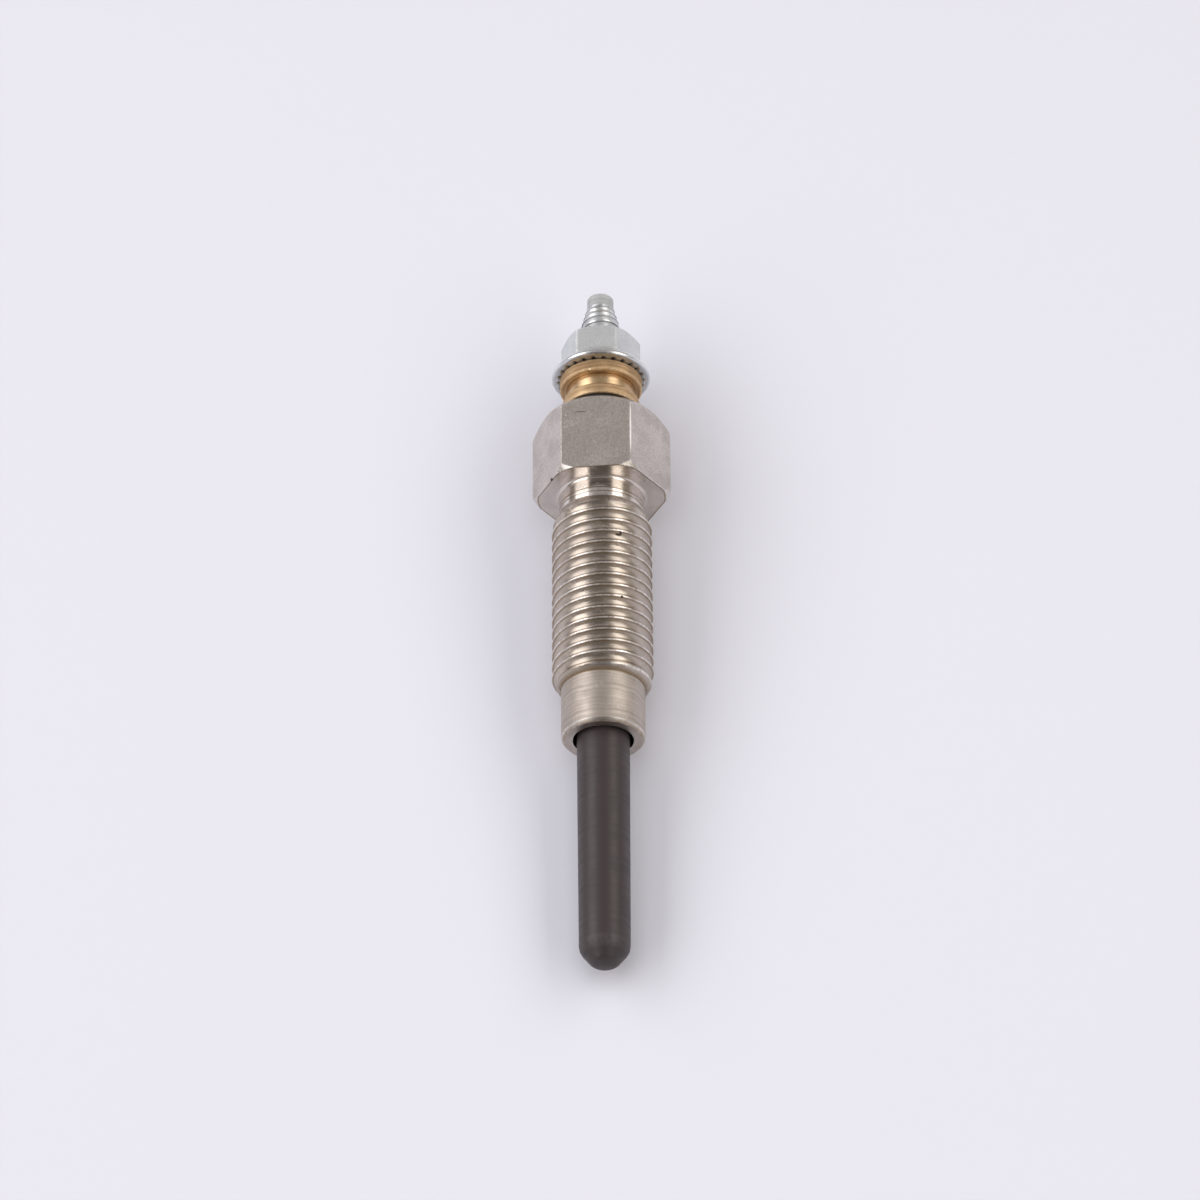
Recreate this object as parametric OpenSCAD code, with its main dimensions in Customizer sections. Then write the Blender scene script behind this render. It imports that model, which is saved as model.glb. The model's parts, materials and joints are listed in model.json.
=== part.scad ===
// Diesel glow plug, lying at rest on a flat surface.
// Each piece is drawn standing on the plug's own axis, stud end up, with z = 0 at the face of the
// hexagon that looks towards the tip. lie_at_rest() then lays every piece down in the same way, so
// that the plug touches the surface with the edge of a hexagon flat and with the end of its thread.

/* [Body shell] */
// Hexagon across its flats
hex_af = 11.9; // [11.5:0.1:12.4]
// Length of the hexagon
hex_h = 8.45; // [7.5:0.05:10]
// Diameter of the round face on the stud end of the hexagon
hex_top_face_d = 11.5; // [11:0.1:11.8]
// Slope of the stud end chamfer from that face, in degrees
hex_top_chamfer_deg = 45; // [25:1:50]
// Diameter of the round face on the tip end of the hexagon
hex_foot_face_d = 12.65; // [12.5:0.05:13]
// Slope of the tip end chamfer from that face, in degrees
hex_foot_chamfer_deg = 45; // [20:1:50]
// Plain neck under the hexagon
neck_d = 8.45; // [8.1:0.05:9.2]
// Length of the plain neck
neck_len = 2.3; // [1.5:0.1:3.5]
// Length over which the thread runs out into the neck
runout_len = 1.4; // [0.8:0.1:2]
// Outside diameter of the thread that goes into the engine
thread_d = 9.85; // [9.6:0.05:10.4]
// Length of the thread at its full diameter
thread_len = 17.2; // [15:0.05:24]
// Axial length of the chamfered shoulder between thread and nose
shoulder_len = 1.15; // [0.6:0.05:1.6]
// Smooth nose below the thread
nose_d = 8.1; // [7.6:0.05:8.8]
// Length of the nose
nose_len = 5.65; // [5:0.05:8]
// Chamfer at the end of the nose
nose_chamfer = 0.3; // [0.1:0.05:0.6]
// Bore that leaves a gap round the heater tube at the nose
nose_bore_d = 5.85; // [5.6:0.05:6.3]
// Depth of that bore
nose_bore_len = 4.8; // [3:0.1:6]
// Bore between the counterbore and the heater tube
upper_bore_d = 4.6; // [4.3:0.05:4.9]
// Counterbore in the hexagon for seal and insulator
counterbore_d = 6.3; // [5.9:0.05:7]
// Depth of that counterbore
counterbore_depth = 4.2; // [3.6:0.05:5.2]
// Chamfer at the mouth of that counterbore
counterbore_chamfer = 0.2; // [0.1:0.05:0.4]

/* [Heater tube] */
// Outside diameter where the tube is held in the body
tube_d = 5.1; // [5:0.02:5.3]
// Outside diameter at the glowing end
tube_tip_d = 4.86; // [4.6:0.02:4.98]
// Wall of the tube
tube_wall = 0.6; // [0.45:0.05:0.7]
// Length that stands out of the nose
tube_show = 24.55; // [20:0.05:30]
// Length hidden inside the body
tube_hidden = 21.7; // [18:0.1:24]
// Space between the inner end of the tube and the step of the body's bore
tube_end_space = 0.5; // [0.2:0.1:1]
// Angle of the conical tip to the axis, in degrees
tip_cone_deg = 38; // [35:1:50]
// Diameter at which the cone meets the rounded end
tip_end_d = 2.9; // [2.5:0.05:3.2]
// Radius of that rounded end
tip_cap_r = 2.2; // [2:0.05:2.6]

/* [Coils in the tube] */
// Wire of both coils
wire_d = 0.32; // [0.24:0.02:0.4]
// Length of the regulating coil
regulating_len = 14; // [11:0.5:16]
// Turns of the regulating coil
regulating_turns = 14; // [10:1:16]
// Turns of the heating coil
heating_turns = 15; // [10:1:17]
// Powder left between the heating coil and the cone that closes the tube
coil_tip_space = 0.3; // [0.1:0.05:0.6]

/* [Centre electrode] */
// Outside diameter of the stud's thread
stud_d = 3.9; // [3.7:0.05:4.1]
// Thread that shows above the terminal nut
stud_show = 3.87; // [2.6:0.01:6]
// Length of the cone at the start of that thread
stud_cone_len = 2.05; // [1:0.05:2.5]
// Diameter at the small end of that cone
stud_cone_d = 2.8; // [2.8:0.05:3.5]
// Plain pilot at the very end of the stud
pilot_d = 2.66; // [2.3:0.02:2.8]
// Length of the pilot
pilot_len = 1.45; // [1.2:0.05:3.5]
// Chamfer at the end of the pilot
pilot_chamfer = 0.2; // [0.1:0.05:0.7]
// Rod below the stud
rod_d = 3; // [2.6:0.05:3.2]
// Length of the rod inside the heater tube
rod_in_tube = 16; // [13:0.5:18]
// Spigot at the rod's end that carries the coil
spigot_d = 2; // [1.6:0.05:2.2]
// Length of that spigot
spigot_len = 2.6; // [1.5:0.1:4]

/* [Seals and insulator] */
// Length of the rubber seal in the mouth of the tube
tube_seal_len = 3.2; // [2:0.1:5]
// Insulator flange that shows between the hexagon and the round nut
insulator_d = 7.4; // [7:0.05:8.2]
// Thickness of that flange
insulator_h = 1.75; // [1:0.05:2.5]
// Rounding on the rim of that flange
insulator_round = 0.25; // [0.1:0.05:0.45]

/* [Round nut] */
// Rim next to the terminal nut
rim_d = 8.2; // [7.6:0.05:8.8]
// Thickness of the rim
rim_h = 1.28; // [0.7:0.02:1.6]
// Turned groove between rim and foot
groove_d = 6.8; // [6.2:0.05:7.2]
// Width of the groove
groove_h = 1.55; // [1.2:0.05:2.4]
// Foot that presses on the insulator
foot_d = 7.7; // [7.4:0.05:8.4]
// Thickness of the foot
foot_h = 1.05; // [0.7:0.05:1.6]
// Fillet from the groove to the foot
groove_fillet = 0.42; // [0.2:0.02:0.44]
// Broken edges of rim and foot
round_nut_edge = 0.12; // [0.05:0.01:0.2]

/* [Terminal nut] */
// Hexagon of the nut across its flats
nut_af = 7; // [6.8:0.05:7.4]
// Height of the nut over all
nut_h = 4.7; // [4:0.05:6]
// Flange of the nut
flange_d = 9.85; // [9.2:0.05:10.6]
// Width of the chamfer under the edge of the flange
flange_chamfer_w = 0.18; // [0.1:0.02:0.3]
// Height of that chamfer
flange_chamfer_h = 0.22; // [0.1:0.02:0.3]
// Height of the flange at the start of its upper slope
flange_edge_h = 0.78; // [0.75:0.01:1.2]
// Rounding on the upper edge of the flange
flange_round = 0.36; // [0.15:0.01:0.36]
// Slope of the flange's upper side, in degrees
flange_slope_deg = 24; // [15:1:32]
// Diameter of the round face on top of the nut
nut_face_d = 6.3; // [5.8:0.05:6.8]
// Slope of the chamfer from that face, in degrees
nut_chamfer_deg = 36; // [20:1:45]
// Number of teeth under the flange
tooth_count = 26; // [18:1:32]
// Depth of the teeth
tooth_depth = 0.2; // [0.12:0.01:0.35]
// Inner diameter of the ring of teeth
tooth_ring_d = 5.6; // [5.2:0.05:6.4]
// Turn of the nut about the stud against the body's hexagon, in degrees
nut_turn = 57.5; // [0:0.5:60]

/* [Fits] */
// Radial gap of a tube or seal pressed into a bore
press_gap = 0.02; // [0.01:0.005:0.03]
// Radial gap between the stud and the nuts that are screwed on it
screw_gap = 0.05; // [0.02:0.01:0.1]
// Radial gap between the insulator and the pieces that it parts
insulator_gap = 0.05; // [0.02:0.01:0.1]
// Gap between the powder and what it is packed round
powder_gap = 0.02; // [0.01:0.005:0.03]

/* [Hidden] */

// Facets round each turned surface, used for previews
$fn = 96;
// Length by which a cutter passes the face that it cuts
through = 1;
// Segments in one turn of a coil
coil_steps = 12;
// Sides of a coil's wire
wire_sides = 6;

// Places of the body's steps along the axis
z_neck_end = -neck_len;
z_thread_top = z_neck_end - runout_len;
z_thread_end = z_thread_top - thread_len;
z_shoulder = z_thread_end - shoulder_len;
z_nose_end = z_shoulder - nose_len;
z_nose_bore = z_nose_end + nose_bore_len;
z_counterbore = hex_h - counterbore_depth;

// Places of the tube's steps along the axis
z_tube_top = z_nose_end + tube_hidden;
z_tube_stop = z_tube_top + tube_end_space;
tip_r = tube_tip_d / 2;
tip_cone_len = (tip_r - tip_end_d / 2) / tan(tip_cone_deg);
tip_cap_len = tip_cap_r - sqrt(pow(tip_cap_r, 2) - pow(tip_end_d / 2, 2));
z_tip = z_nose_end - tube_show;
z_cap_joint = z_tip + tip_cap_len;
z_dome = z_cap_joint + tip_cone_len;
tube_bore_r = tube_d / 2 - tube_wall;
tip_bore_r = tip_r - tube_wall;
z_dome_in = z_dome + tube_wall * tan(tip_cone_deg / 2);
z_bore_end = z_dome_in - tip_cone_len;
bore_end_r = tip_bore_r - tip_cone_len * tan(tip_cone_deg);

// Places of the stack on the stud along the axis
z_insulator_top = hex_h + insulator_h;
z_groove = z_insulator_top + foot_h;
z_rim = z_groove + groove_h;
z_nut_seat = z_rim + rim_h;
z_nut_top = z_nut_seat + nut_h;
z_pilot = z_nut_top + stud_show;
z_stud_top = z_pilot + pilot_len;
z_stud_cone = z_pilot - stud_cone_len;

// Seal in the counterbore, and the skirt of the insulator above it
o_ring_cord_r = (counterbore_d - stud_d) / 4 - press_gap;
o_ring_mean_r = (counterbore_d + stud_d) / 4;
z_o_ring = z_counterbore + o_ring_cord_r + press_gap;
z_skirt = z_o_ring + o_ring_cord_r + press_gap;
skirt_d = counterbore_d - 2 * insulator_gap;

// Inner end of the electrode, and the coils on it
z_stud_foot = z_counterbore - (stud_d - rod_d);
z_rod_end = z_tube_top - rod_in_tube;
z_spigot_end = z_rod_end - spigot_len;
coil_r = spigot_d / 2 + powder_gap + wire_d / 2;
z_coil_top = z_rod_end - wire_d;
z_coil_joint = z_coil_top - regulating_len;
coil_outer_r = coil_r + wire_d / 2;
z_coil_end = z_bore_end + (coil_outer_r + coil_tip_space - bore_end_r) / tan(tip_cone_deg);
heating_len = z_coil_joint - z_coil_end;
z_fill_top = z_tube_top - tube_seal_len - powder_gap;

// How the plug lies: its tilt, and the place of the axis at the hexagon's tip end
rest_tilt = atan((hex_af - thread_d) / 2 / -z_thread_end);
rest_z = hex_af / 2 * cos(rest_tilt);
reach_stud = (pilot_d / 2 - pilot_chamfer) * sin(rest_tilt) + z_stud_top * cos(rest_tilt);
reach_tip = (z_tip + tip_cap_r) * cos(rest_tilt) - tip_cap_r;
rest_y = -(reach_stud + reach_tip) / 2;

// Lays a piece that stands on the plug's axis down on the surface.
module lie_at_rest() {
    translate([0, rest_y, rest_z])
        rotate([rest_tilt - 90, 0, 0])
            children();
}

// Turned envelope that chamfers the ends of a hexagon that stands between z = 0 and z = h.
// The faces at the top and the foot are round, and the chamfers slope from them to radius r.
module chamfer_envelope(r, h, top_face_r, top_deg, foot_face_r, foot_deg) {
    rotate_extrude()
        polygon([
            [0, 0],
            [foot_face_r, 0],
            [r, (r - foot_face_r) * tan(foot_deg)],
            [r, h - (r - top_face_r) * tan(top_deg)],
            [top_face_r, h],
            [0, h]
        ]);
}

// Place at t turns along a coil that winds down from z_top.
function coil_place(t, turns, z_top, length) =
    [coil_r * cos(360 * t), coil_r * sin(360 * t), z_top - length * t / turns];

// Direction of a coil at t turns, where it goes down by slope in a turn.
function coil_along(t, slope) =
    unit([-2 * PI * coil_r * sin(360 * t), 2 * PI * coil_r * cos(360 * t), -slope]);

// Direction a, scaled to length 1.
function unit(a) = a / norm(a);

// Ring of points round the wire where it passes p in direction along.
function wire_ring(p, along) =
    let (
        up = unit([0, 0, 1] - along[2] * along),
        side = cross(along, up)
    )
    [for (k = [0 : wire_sides - 1])
        p + wire_d / 2 * (cos(360 * k / wire_sides) * up + sin(360 * k / wire_sides) * side)];

// Round wire wound in a coil, as one closed solid with its ends cut upright.
module wound_wire(turns, z_top, length) {
    steps = turns * coil_steps;
    rings = [for (i = [0 : steps])
        let (
            t = i / coil_steps,
            slope = i == 0 || i == steps ? 0 : length / turns
        )
        wire_ring(coil_place(t, turns, z_top, length), coil_along(t, slope))];
    skin = [for (i = [0 : steps - 1], k = [0 : wire_sides - 1])
        let (
            a = i * wire_sides + k,
            b = i * wire_sides + (k + 1) % wire_sides
        )
        each [[a, b, b + wire_sides], [a, b + wire_sides, a + wire_sides]]];
    start = [for (k = [wire_sides - 1 : -1 : 0]) k];
    end = [for (k = [0 : wire_sides - 1]) steps * wire_sides + k];
    polyhedron(points = [for (ring = rings) each ring], faces = concat(skin, [start, end]));
}

// Hollow of the heater tube below height z_top, drawn in by gap from the tube's wall.
module tube_hollow(z_top, gap) {
    rotate_extrude()
        polygon([
            [0, z_top],
            [tube_bore_r - gap, z_top],
            [tube_bore_r - gap, z_nose_end],
            [tip_bore_r - gap, z_dome_in],
            [bore_end_r - gap, z_bore_end + gap],
            [0, z_bore_end + gap]
        ]);
}

// Steel body with hexagon, neck, thread, nose and the stepped bore through them.
module body_shell() {
    color([0.66, 0.64, 0.61])
        lie_at_rest()
            difference() {
                union() {
                    body_hexagon();
                    body_turning();
                }
                body_bore();
            }
}

// Hexagon for the socket wrench, with its corners chamfered at both ends.
module body_hexagon() {
    corner_r = hex_af / 2 / cos(30);
    intersection() {
        cylinder(h = hex_h, r = corner_r, $fn = 6);
        chamfer_envelope(corner_r + through, hex_h, hex_top_face_d / 2, hex_top_chamfer_deg,
            hex_foot_face_d / 2, hex_foot_chamfer_deg);
    }
}

// Neck, thread and nose, turned in one with the hexagon.
module body_turning() {
    rotate_extrude()
        polygon([
            [0, hex_h / 2],
            [neck_d / 2, hex_h / 2],
            [neck_d / 2, z_neck_end],
            [thread_d / 2, z_thread_top],
            [thread_d / 2, z_thread_end],
            [nose_d / 2, z_shoulder],
            [nose_d / 2, z_nose_end + nose_chamfer],
            [nose_d / 2 - nose_chamfer, z_nose_end],
            [0, z_nose_end]
        ]);
}

// Stepped bore: counterbore, electrode bore, seat of the tube and gap at the nose.
module body_bore() {
    mouth_r = counterbore_d / 2 + counterbore_chamfer;
    tube_seat_r = tube_d / 2 + press_gap;
    rotate_extrude()
        polygon([
            [0, hex_h + through],
            [mouth_r, hex_h + through],
            [mouth_r, hex_h],
            [counterbore_d / 2, hex_h - counterbore_chamfer],
            [counterbore_d / 2, z_counterbore],
            [upper_bore_d / 2, z_counterbore],
            [upper_bore_d / 2, z_tube_stop],
            [tube_seat_r, z_tube_stop],
            [tube_seat_r, z_nose_bore],
            [nose_bore_d / 2, z_nose_bore],
            [nose_bore_d / 2, z_nose_end - through],
            [0, z_nose_end - through]
        ]);
}

// Heat-resistant tube, closed at the tip by a cone with a rounded end.
module heater_tube() {
    color([0.28, 0.26, 0.25])
        lie_at_rest()
            difference() {
                rotate_extrude()
                    tube_outline();
                tube_hollow(z_tube_top + through, 0);
            }
}

// Half section of the tube's outside.
module tube_outline() {
    z_cone_point = z_dome - tip_r / tan(tip_cone_deg);
    difference() {
        polygon([
            [0, z_tube_top],
            [tube_d / 2, z_tube_top],
            [tube_d / 2, z_nose_end],
            [tip_r, z_dome],
            [0, z_cone_point]
        ]);
        difference() {
            translate([0, z_cone_point])
                square([tip_end_d, z_cap_joint + tip_cap_len / 2 - z_cone_point]);
            translate([0, z_tip + tip_cap_r])
                circle(r = tip_cap_r);
        }
    }
}

// Coil at the tip that glows.
module heating_coil() {
    color([0.45, 0.42, 0.4])
        lie_at_rest()
            wound_wire(heating_turns, z_coil_joint, heating_len);
}

// Coil in series behind it that limits the current as it warms up.
module regulating_coil() {
    color([0.5, 0.47, 0.42])
        lie_at_rest()
            wound_wire(regulating_turns, z_coil_top, regulating_len);
}

// Insulating powder, packed round the rod and both coils.
module magnesia_fill() {
    color([0.93, 0.92, 0.88])
        lie_at_rest()
            difference() {
                tube_hollow(z_fill_top, powder_gap);
                rotate_extrude()
                    polygon([
                        [0, z_fill_top + through],
                        [rod_d / 2 + powder_gap, z_fill_top + through],
                        [rod_d / 2 + powder_gap, z_rod_end - powder_gap],
                        [spigot_d / 2 + powder_gap, z_rod_end - powder_gap],
                        [spigot_d / 2 + powder_gap, z_spigot_end - powder_gap],
                        [0, z_spigot_end - powder_gap]
                    ]);
                coil_room();
            }
}

// Ring-shaped room in the powder that both coils stand in.
module coil_room() {
    half_w = wire_d / 2 + powder_gap;
    rotate_extrude()
        translate([coil_r - half_w, z_coil_end - half_w])
            square([2 * half_w, z_coil_top - z_coil_end + 2 * half_w]);
}

// Rubber seal that closes the mouth of the tube round the rod.
module tube_seal() {
    color([0.2, 0.2, 0.2])
        lie_at_rest()
            translate([0, 0, z_tube_top - tube_seal_len])
                difference() {
                    cylinder(h = tube_seal_len, r = tube_bore_r - press_gap);
                    translate([0, 0, -through])
                        cylinder(h = tube_seal_len + 2 * through, r = rod_d / 2 + press_gap);
                }
}

// Rod that carries the current to the coil, with the terminal stud and its pilot.
module centre_electrode() {
    color([0.7, 0.72, 0.74])
        lie_at_rest()
            rotate_extrude()
                polygon([
                    [0, z_stud_top],
                    [pilot_d / 2 - pilot_chamfer, z_stud_top],
                    [pilot_d / 2, z_stud_top - pilot_chamfer],
                    [pilot_d / 2, z_pilot],
                    [stud_cone_d / 2, z_pilot],
                    [stud_d / 2, z_stud_cone],
                    [stud_d / 2, z_counterbore],
                    [rod_d / 2, z_stud_foot],
                    [rod_d / 2, z_rod_end],
                    [spigot_d / 2, z_rod_end],
                    [spigot_d / 2, z_spigot_end],
                    [0, z_spigot_end]
                ]);
}

// Rubber ring at the bottom of the counterbore.
module o_ring() {
    color([0.12, 0.12, 0.12])
        lie_at_rest()
            translate([0, 0, z_o_ring])
                rotate_extrude()
                    translate([o_ring_mean_r, 0])
                        circle(r = o_ring_cord_r);
}

// Black bush: a flange on the hexagon and a skirt in the counterbore.
module insulator_bush() {
    color([0.16, 0.15, 0.15])
        lie_at_rest()
            difference() {
                union() {
                    rotate_extrude()
                        rounded_rim(insulator_d / 2, hex_h, insulator_h, insulator_round);
                    translate([0, 0, z_skirt])
                        cylinder(h = z_insulator_top - z_skirt, d = skirt_d);
                }
                translate([0, 0, z_skirt - through])
                    cylinder(h = z_insulator_top - z_skirt + 2 * through, d = stud_d + 2 * insulator_gap);
            }
}

// Half section of a disc of radius r that stands on z, with both corners of its rim rounded.
module rounded_rim(r, z, h, round_r) {
    translate([0, z])
        square([r - round_r, h]);
    translate([0, z + round_r])
        square([r, h - 2 * round_r]);
    for (corner_z = [z + round_r, z + h - round_r])
        translate([r - round_r, corner_z])
            circle(r = round_r);
}

// Brass nut that clamps the insulator, with a turned groove between rim and foot.
module round_nut() {
    color([0.79, 0.63, 0.35])
        lie_at_rest()
            rotate_extrude()
                difference() {
                    union() {
                        broken_edge_disc(foot_d / 2, z_insulator_top, foot_h);
                        translate([0, z_groove])
                            square([groove_d / 2, groove_h]);
                        groove_foot_fillet();
                        broken_edge_disc(rim_d / 2, z_rim, rim_h);
                    }
                    translate([0, z_insulator_top - through])
                        square([stud_d / 2 + screw_gap, z_nut_seat - z_insulator_top + 2 * through]);
                }
}

// Half section of a disc of the round nut with its two outer edges broken.
module broken_edge_disc(r, z, h) {
    polygon([
        [0, z],
        [r - round_nut_edge, z],
        [r, z + round_nut_edge],
        [r, z + h - round_nut_edge],
        [r - round_nut_edge, z + h],
        [0, z + h]
    ]);
}

// Hollow fillet from the groove's floor to the upper side of the foot.
module groove_foot_fillet() {
    fillet_r = min(groove_fillet, foot_d / 2 - groove_d / 2);
    difference() {
        translate([groove_d / 2, z_groove])
            square(fillet_r);
        translate([groove_d / 2 + fillet_r, z_groove + fillet_r])
            circle(r = fillet_r);
    }
}

// Zinc-plated nut with a toothed flange, which clamps the cable's ring on the stud.
module terminal_nut() {
    color([0.74, 0.77, 0.79])
        lie_at_rest()
            translate([0, 0, z_nut_seat])
                rotate([0, 0, nut_turn])
                    difference() {
                        union() {
                            nut_hexagon();
                            nut_flange();
                        }
                        translate([0, 0, -through])
                            cylinder(h = nut_h + 2 * through, r = stud_d / 2 + screw_gap);
                        for (i = [0 : tooth_count - 1])
                            rotate([0, 0, 360 * i / tooth_count])
                                tooth_gap();
                    }
}

// Hexagon of the nut, chamfered at its top.
module nut_hexagon() {
    corner_r = nut_af / 2 / cos(30);
    intersection() {
        cylinder(h = nut_h, r = corner_r, $fn = 6);
        chamfer_envelope(corner_r + through, nut_h, nut_face_d / 2, nut_chamfer_deg, corner_r + through, 0);
    }
}

// Flange with a sloping upper side that rounds over into its edge, and a chamfer under that edge.
module nut_flange() {
    edge_r = flange_d / 2;
    round_place = [edge_r - flange_round, flange_edge_h - flange_round];
    rotate_extrude() {
        polygon([
            [0, 0],
            [edge_r - flange_chamfer_w, 0],
            [edge_r, flange_chamfer_h],
            [edge_r, round_place[1]],
            [round_place[0], flange_edge_h],
            [0, flange_edge_h + round_place[0] * tan(flange_slope_deg)]
        ]);
        translate(round_place)
            circle(r = flange_round);
    }
}

// One V-shaped gap between two teeth, which runs outwards from the inner ring of teeth.
module tooth_gap() {
    half_w = PI * flange_d / tooth_count / 4;
    translate([tooth_ring_d / 2, 0, 0])
        rotate([90, 0, 90])
            linear_extrude(flange_d / 2)
                polygon([
                    [-half_w, -through],
                    [-half_w, 0],
                    [0, tooth_depth],
                    [half_w, 0],
                    [half_w, -through]
                ]);
}

body_shell();
heater_tube();
heating_coil();
regulating_coil();
magnesia_fill();
tube_seal();
centre_electrode();
o_ring();
insulator_bush();
round_nut();
terminal_nut();
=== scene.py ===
"""Looks of a diesel glow plug that lies on a pale floor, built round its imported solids.

Each turned piece is a grid of columns round the plug's axis, so that hexagons, teeth and threads
share one way of building. Sizes are in millimetres on the plug's own axis: z = 0 is the face of the
hexagon that looks towards the tip, and z grows towards the stud.
"""

import json
import logging
import math
from abc import ABC, abstractmethod
from dataclasses import dataclass, field, replace
from enum import Enum
from typing import Any, Callable, Mapping, Sequence

import bmesh
import bpy
from mathutils import Matrix, Vector


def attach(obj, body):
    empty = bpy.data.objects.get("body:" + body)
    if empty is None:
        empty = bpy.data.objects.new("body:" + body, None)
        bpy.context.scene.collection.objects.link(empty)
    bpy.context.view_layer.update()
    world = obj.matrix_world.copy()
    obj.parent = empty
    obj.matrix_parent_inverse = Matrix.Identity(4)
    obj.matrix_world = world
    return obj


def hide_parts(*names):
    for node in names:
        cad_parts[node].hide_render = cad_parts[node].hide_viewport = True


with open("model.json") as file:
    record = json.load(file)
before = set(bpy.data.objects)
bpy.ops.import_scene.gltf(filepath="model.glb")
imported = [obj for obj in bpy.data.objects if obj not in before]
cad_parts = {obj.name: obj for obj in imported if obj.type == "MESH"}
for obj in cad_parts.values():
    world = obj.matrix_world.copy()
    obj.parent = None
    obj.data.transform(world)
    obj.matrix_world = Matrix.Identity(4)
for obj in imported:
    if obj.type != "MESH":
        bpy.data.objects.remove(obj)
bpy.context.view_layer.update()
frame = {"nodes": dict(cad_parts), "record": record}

MM = 0.001
BODY = "root"
SHARP_EDGE_DEG = 30.0
MERGE_MM = 0.0008
HEX_STEP = math.pi / 3
HEX_HALF_STEP = math.pi / 6

Colour = tuple[float, float, float]
Socket = bpy.types.NodeSocket
Sockets = Mapping[str, Socket]

log = logging.getLogger("glow_plug")


class Slot(Enum):
    """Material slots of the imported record."""

    BODY = "nickel_plated_steel"
    TUBE = "heat_resistant_tube"
    WIRE = "resistance_wire"
    POWDER = "magnesia_powder"
    RUBBER = "black_rubber"
    STUD = "zinc_plated_steel"
    INSULATOR = "black_insulator"
    BRASS = "turned_brass"


class Trace(Enum):
    """Values that a turned mesh keeps at each of its points."""

    PLACE = "plug_place"
    WEAR = "edge_wear"
    GLOSS = "gloss"
    # Real dirt and painted shade share this one trace.
    GRIME_AND_SHADE = "grime_and_shade"


@dataclass(frozen=True)
class PlugAxis:
    """The plug's own axis in the frame.

    Attributes:
        foot: Where the axis passes the hexagon's tip face.
        up: Direction towards the stud.
        side: Direction of the plug's own x.
        below: Direction of the plug's own y, which points at the floor.
    """

    foot: Vector
    up: Vector
    side: Vector
    below: Vector

    @classmethod
    def from_record(cls, record: Mapping[str, Any], thread_middle: float) -> "PlugAxis":
        """Reads the axis from the mount that screws into the engine.

        Args:
            record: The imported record.
            thread_middle: Height of the middle of that thread on the axis.

        Returns:
            The axis that every turned piece is built on.
        """
        mount = next(m for m in record["mounts"] if m["name"] == "engine_thread")
        up = -Vector(mount["axis"]).normalized()
        side = Vector((1.0, 0.0, 0.0))
        foot = Vector(mount["pos_m"]) - up * (thread_middle * MM)
        return cls(foot, up, side, up.cross(side))

    def place(self, local: Vector) -> Vector:
        """Where a point of the plug, in millimetres, is in the frame."""
        return self.foot + (self.side * local.x + self.below * local.y + self.up * local.z) * MM


@dataclass(frozen=True)
class Look:
    """How worn and how glossy a surface is, and how much dirt and painted shade darken it; a gloss below 0
    is rougher than satin.
    """

    wear: float = 0.0
    gloss: float = 0.0
    grime_and_shade: float = 0.0


PLAIN = Look()
HIDDEN = Look(grime_and_shade=1.0)


@dataclass(frozen=True)
class Spot:
    """A point of a half section, with the look of the surface there."""

    r: float
    z: float
    look: Look = PLAIN

    def toward(self, other: "Spot", reach: float) -> "Spot":
        """The point at a distance from this one on the way to another.

        Args:
            other: Where the way leads.
            reach: The distance.

        Returns:
            The point, with this one's look.
        """
        span = math.hypot(other.r - self.r, other.z - self.z)
        share = reach / span if span > 0 else 0.0
        return Spot(self.r + (other.r - self.r) * share, self.z + (other.z - self.z) * share, self.look)

    def touched(self, wear: float, grime_and_shade: float) -> "Spot":
        """The same point with at least that wear and grime."""
        look = replace(self.look, wear=max(self.look.wear, wear), grime_and_shade=max(self.look.grime_and_shade, grime_and_shade))
        return replace(self, look=look)


@dataclass
class Section:
    """Half section of a piece in one direction, and which of its rows belong to a thread."""

    spots: list[Spot] = field(default_factory=list)
    thread_start: int = 0
    thread_rows: int = 0
    rows_per_turn: int = 0

    def add(self, spots: Sequence[Spot]) -> None:
        """Adds plain rows at the end."""
        self.spots.extend(spots)

    def add_thread(self, spots: Sequence[Spot], rows_per_turn: int) -> None:
        """Adds the rows of a thread at the end.

        Args:
            spots: The rows.
            rows_per_turn: How many of them make one turn.
        """
        self.thread_start = len(self.spots)
        self.thread_rows = len(spots)
        self.rows_per_turn = rows_per_turn
        self.spots.extend(spots)

    def seam_row(self, row: int) -> int:
        """The row of the first column that a row of the last column meets, one turn further on.

        Args:
            row: Row of the last column.

        Returns:
            Row of the first column.
        """
        end = self.thread_start + self.thread_rows
        if self.thread_start <= row < end:
            return max(self.thread_start, row - self.rows_per_turn)
        return row


def corner_turn(before: Spot, at: Spot, after: Spot) -> float:
    """Sine of the turn at a corner of a half section: below 0 where the solid's edge stands out.

    Args:
        before: The corner before.
        at: The corner.
        after: The corner after.

    Returns:
        The sine, from -1 to 1.
    """
    ar, az = at.r - before.r, at.z - before.z
    br, bz = after.r - at.r, after.z - at.z
    spans = math.hypot(ar, az) * math.hypot(br, bz)
    return (ar * bz - az * br) / spans if spans > 0 else 0.0


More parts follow.
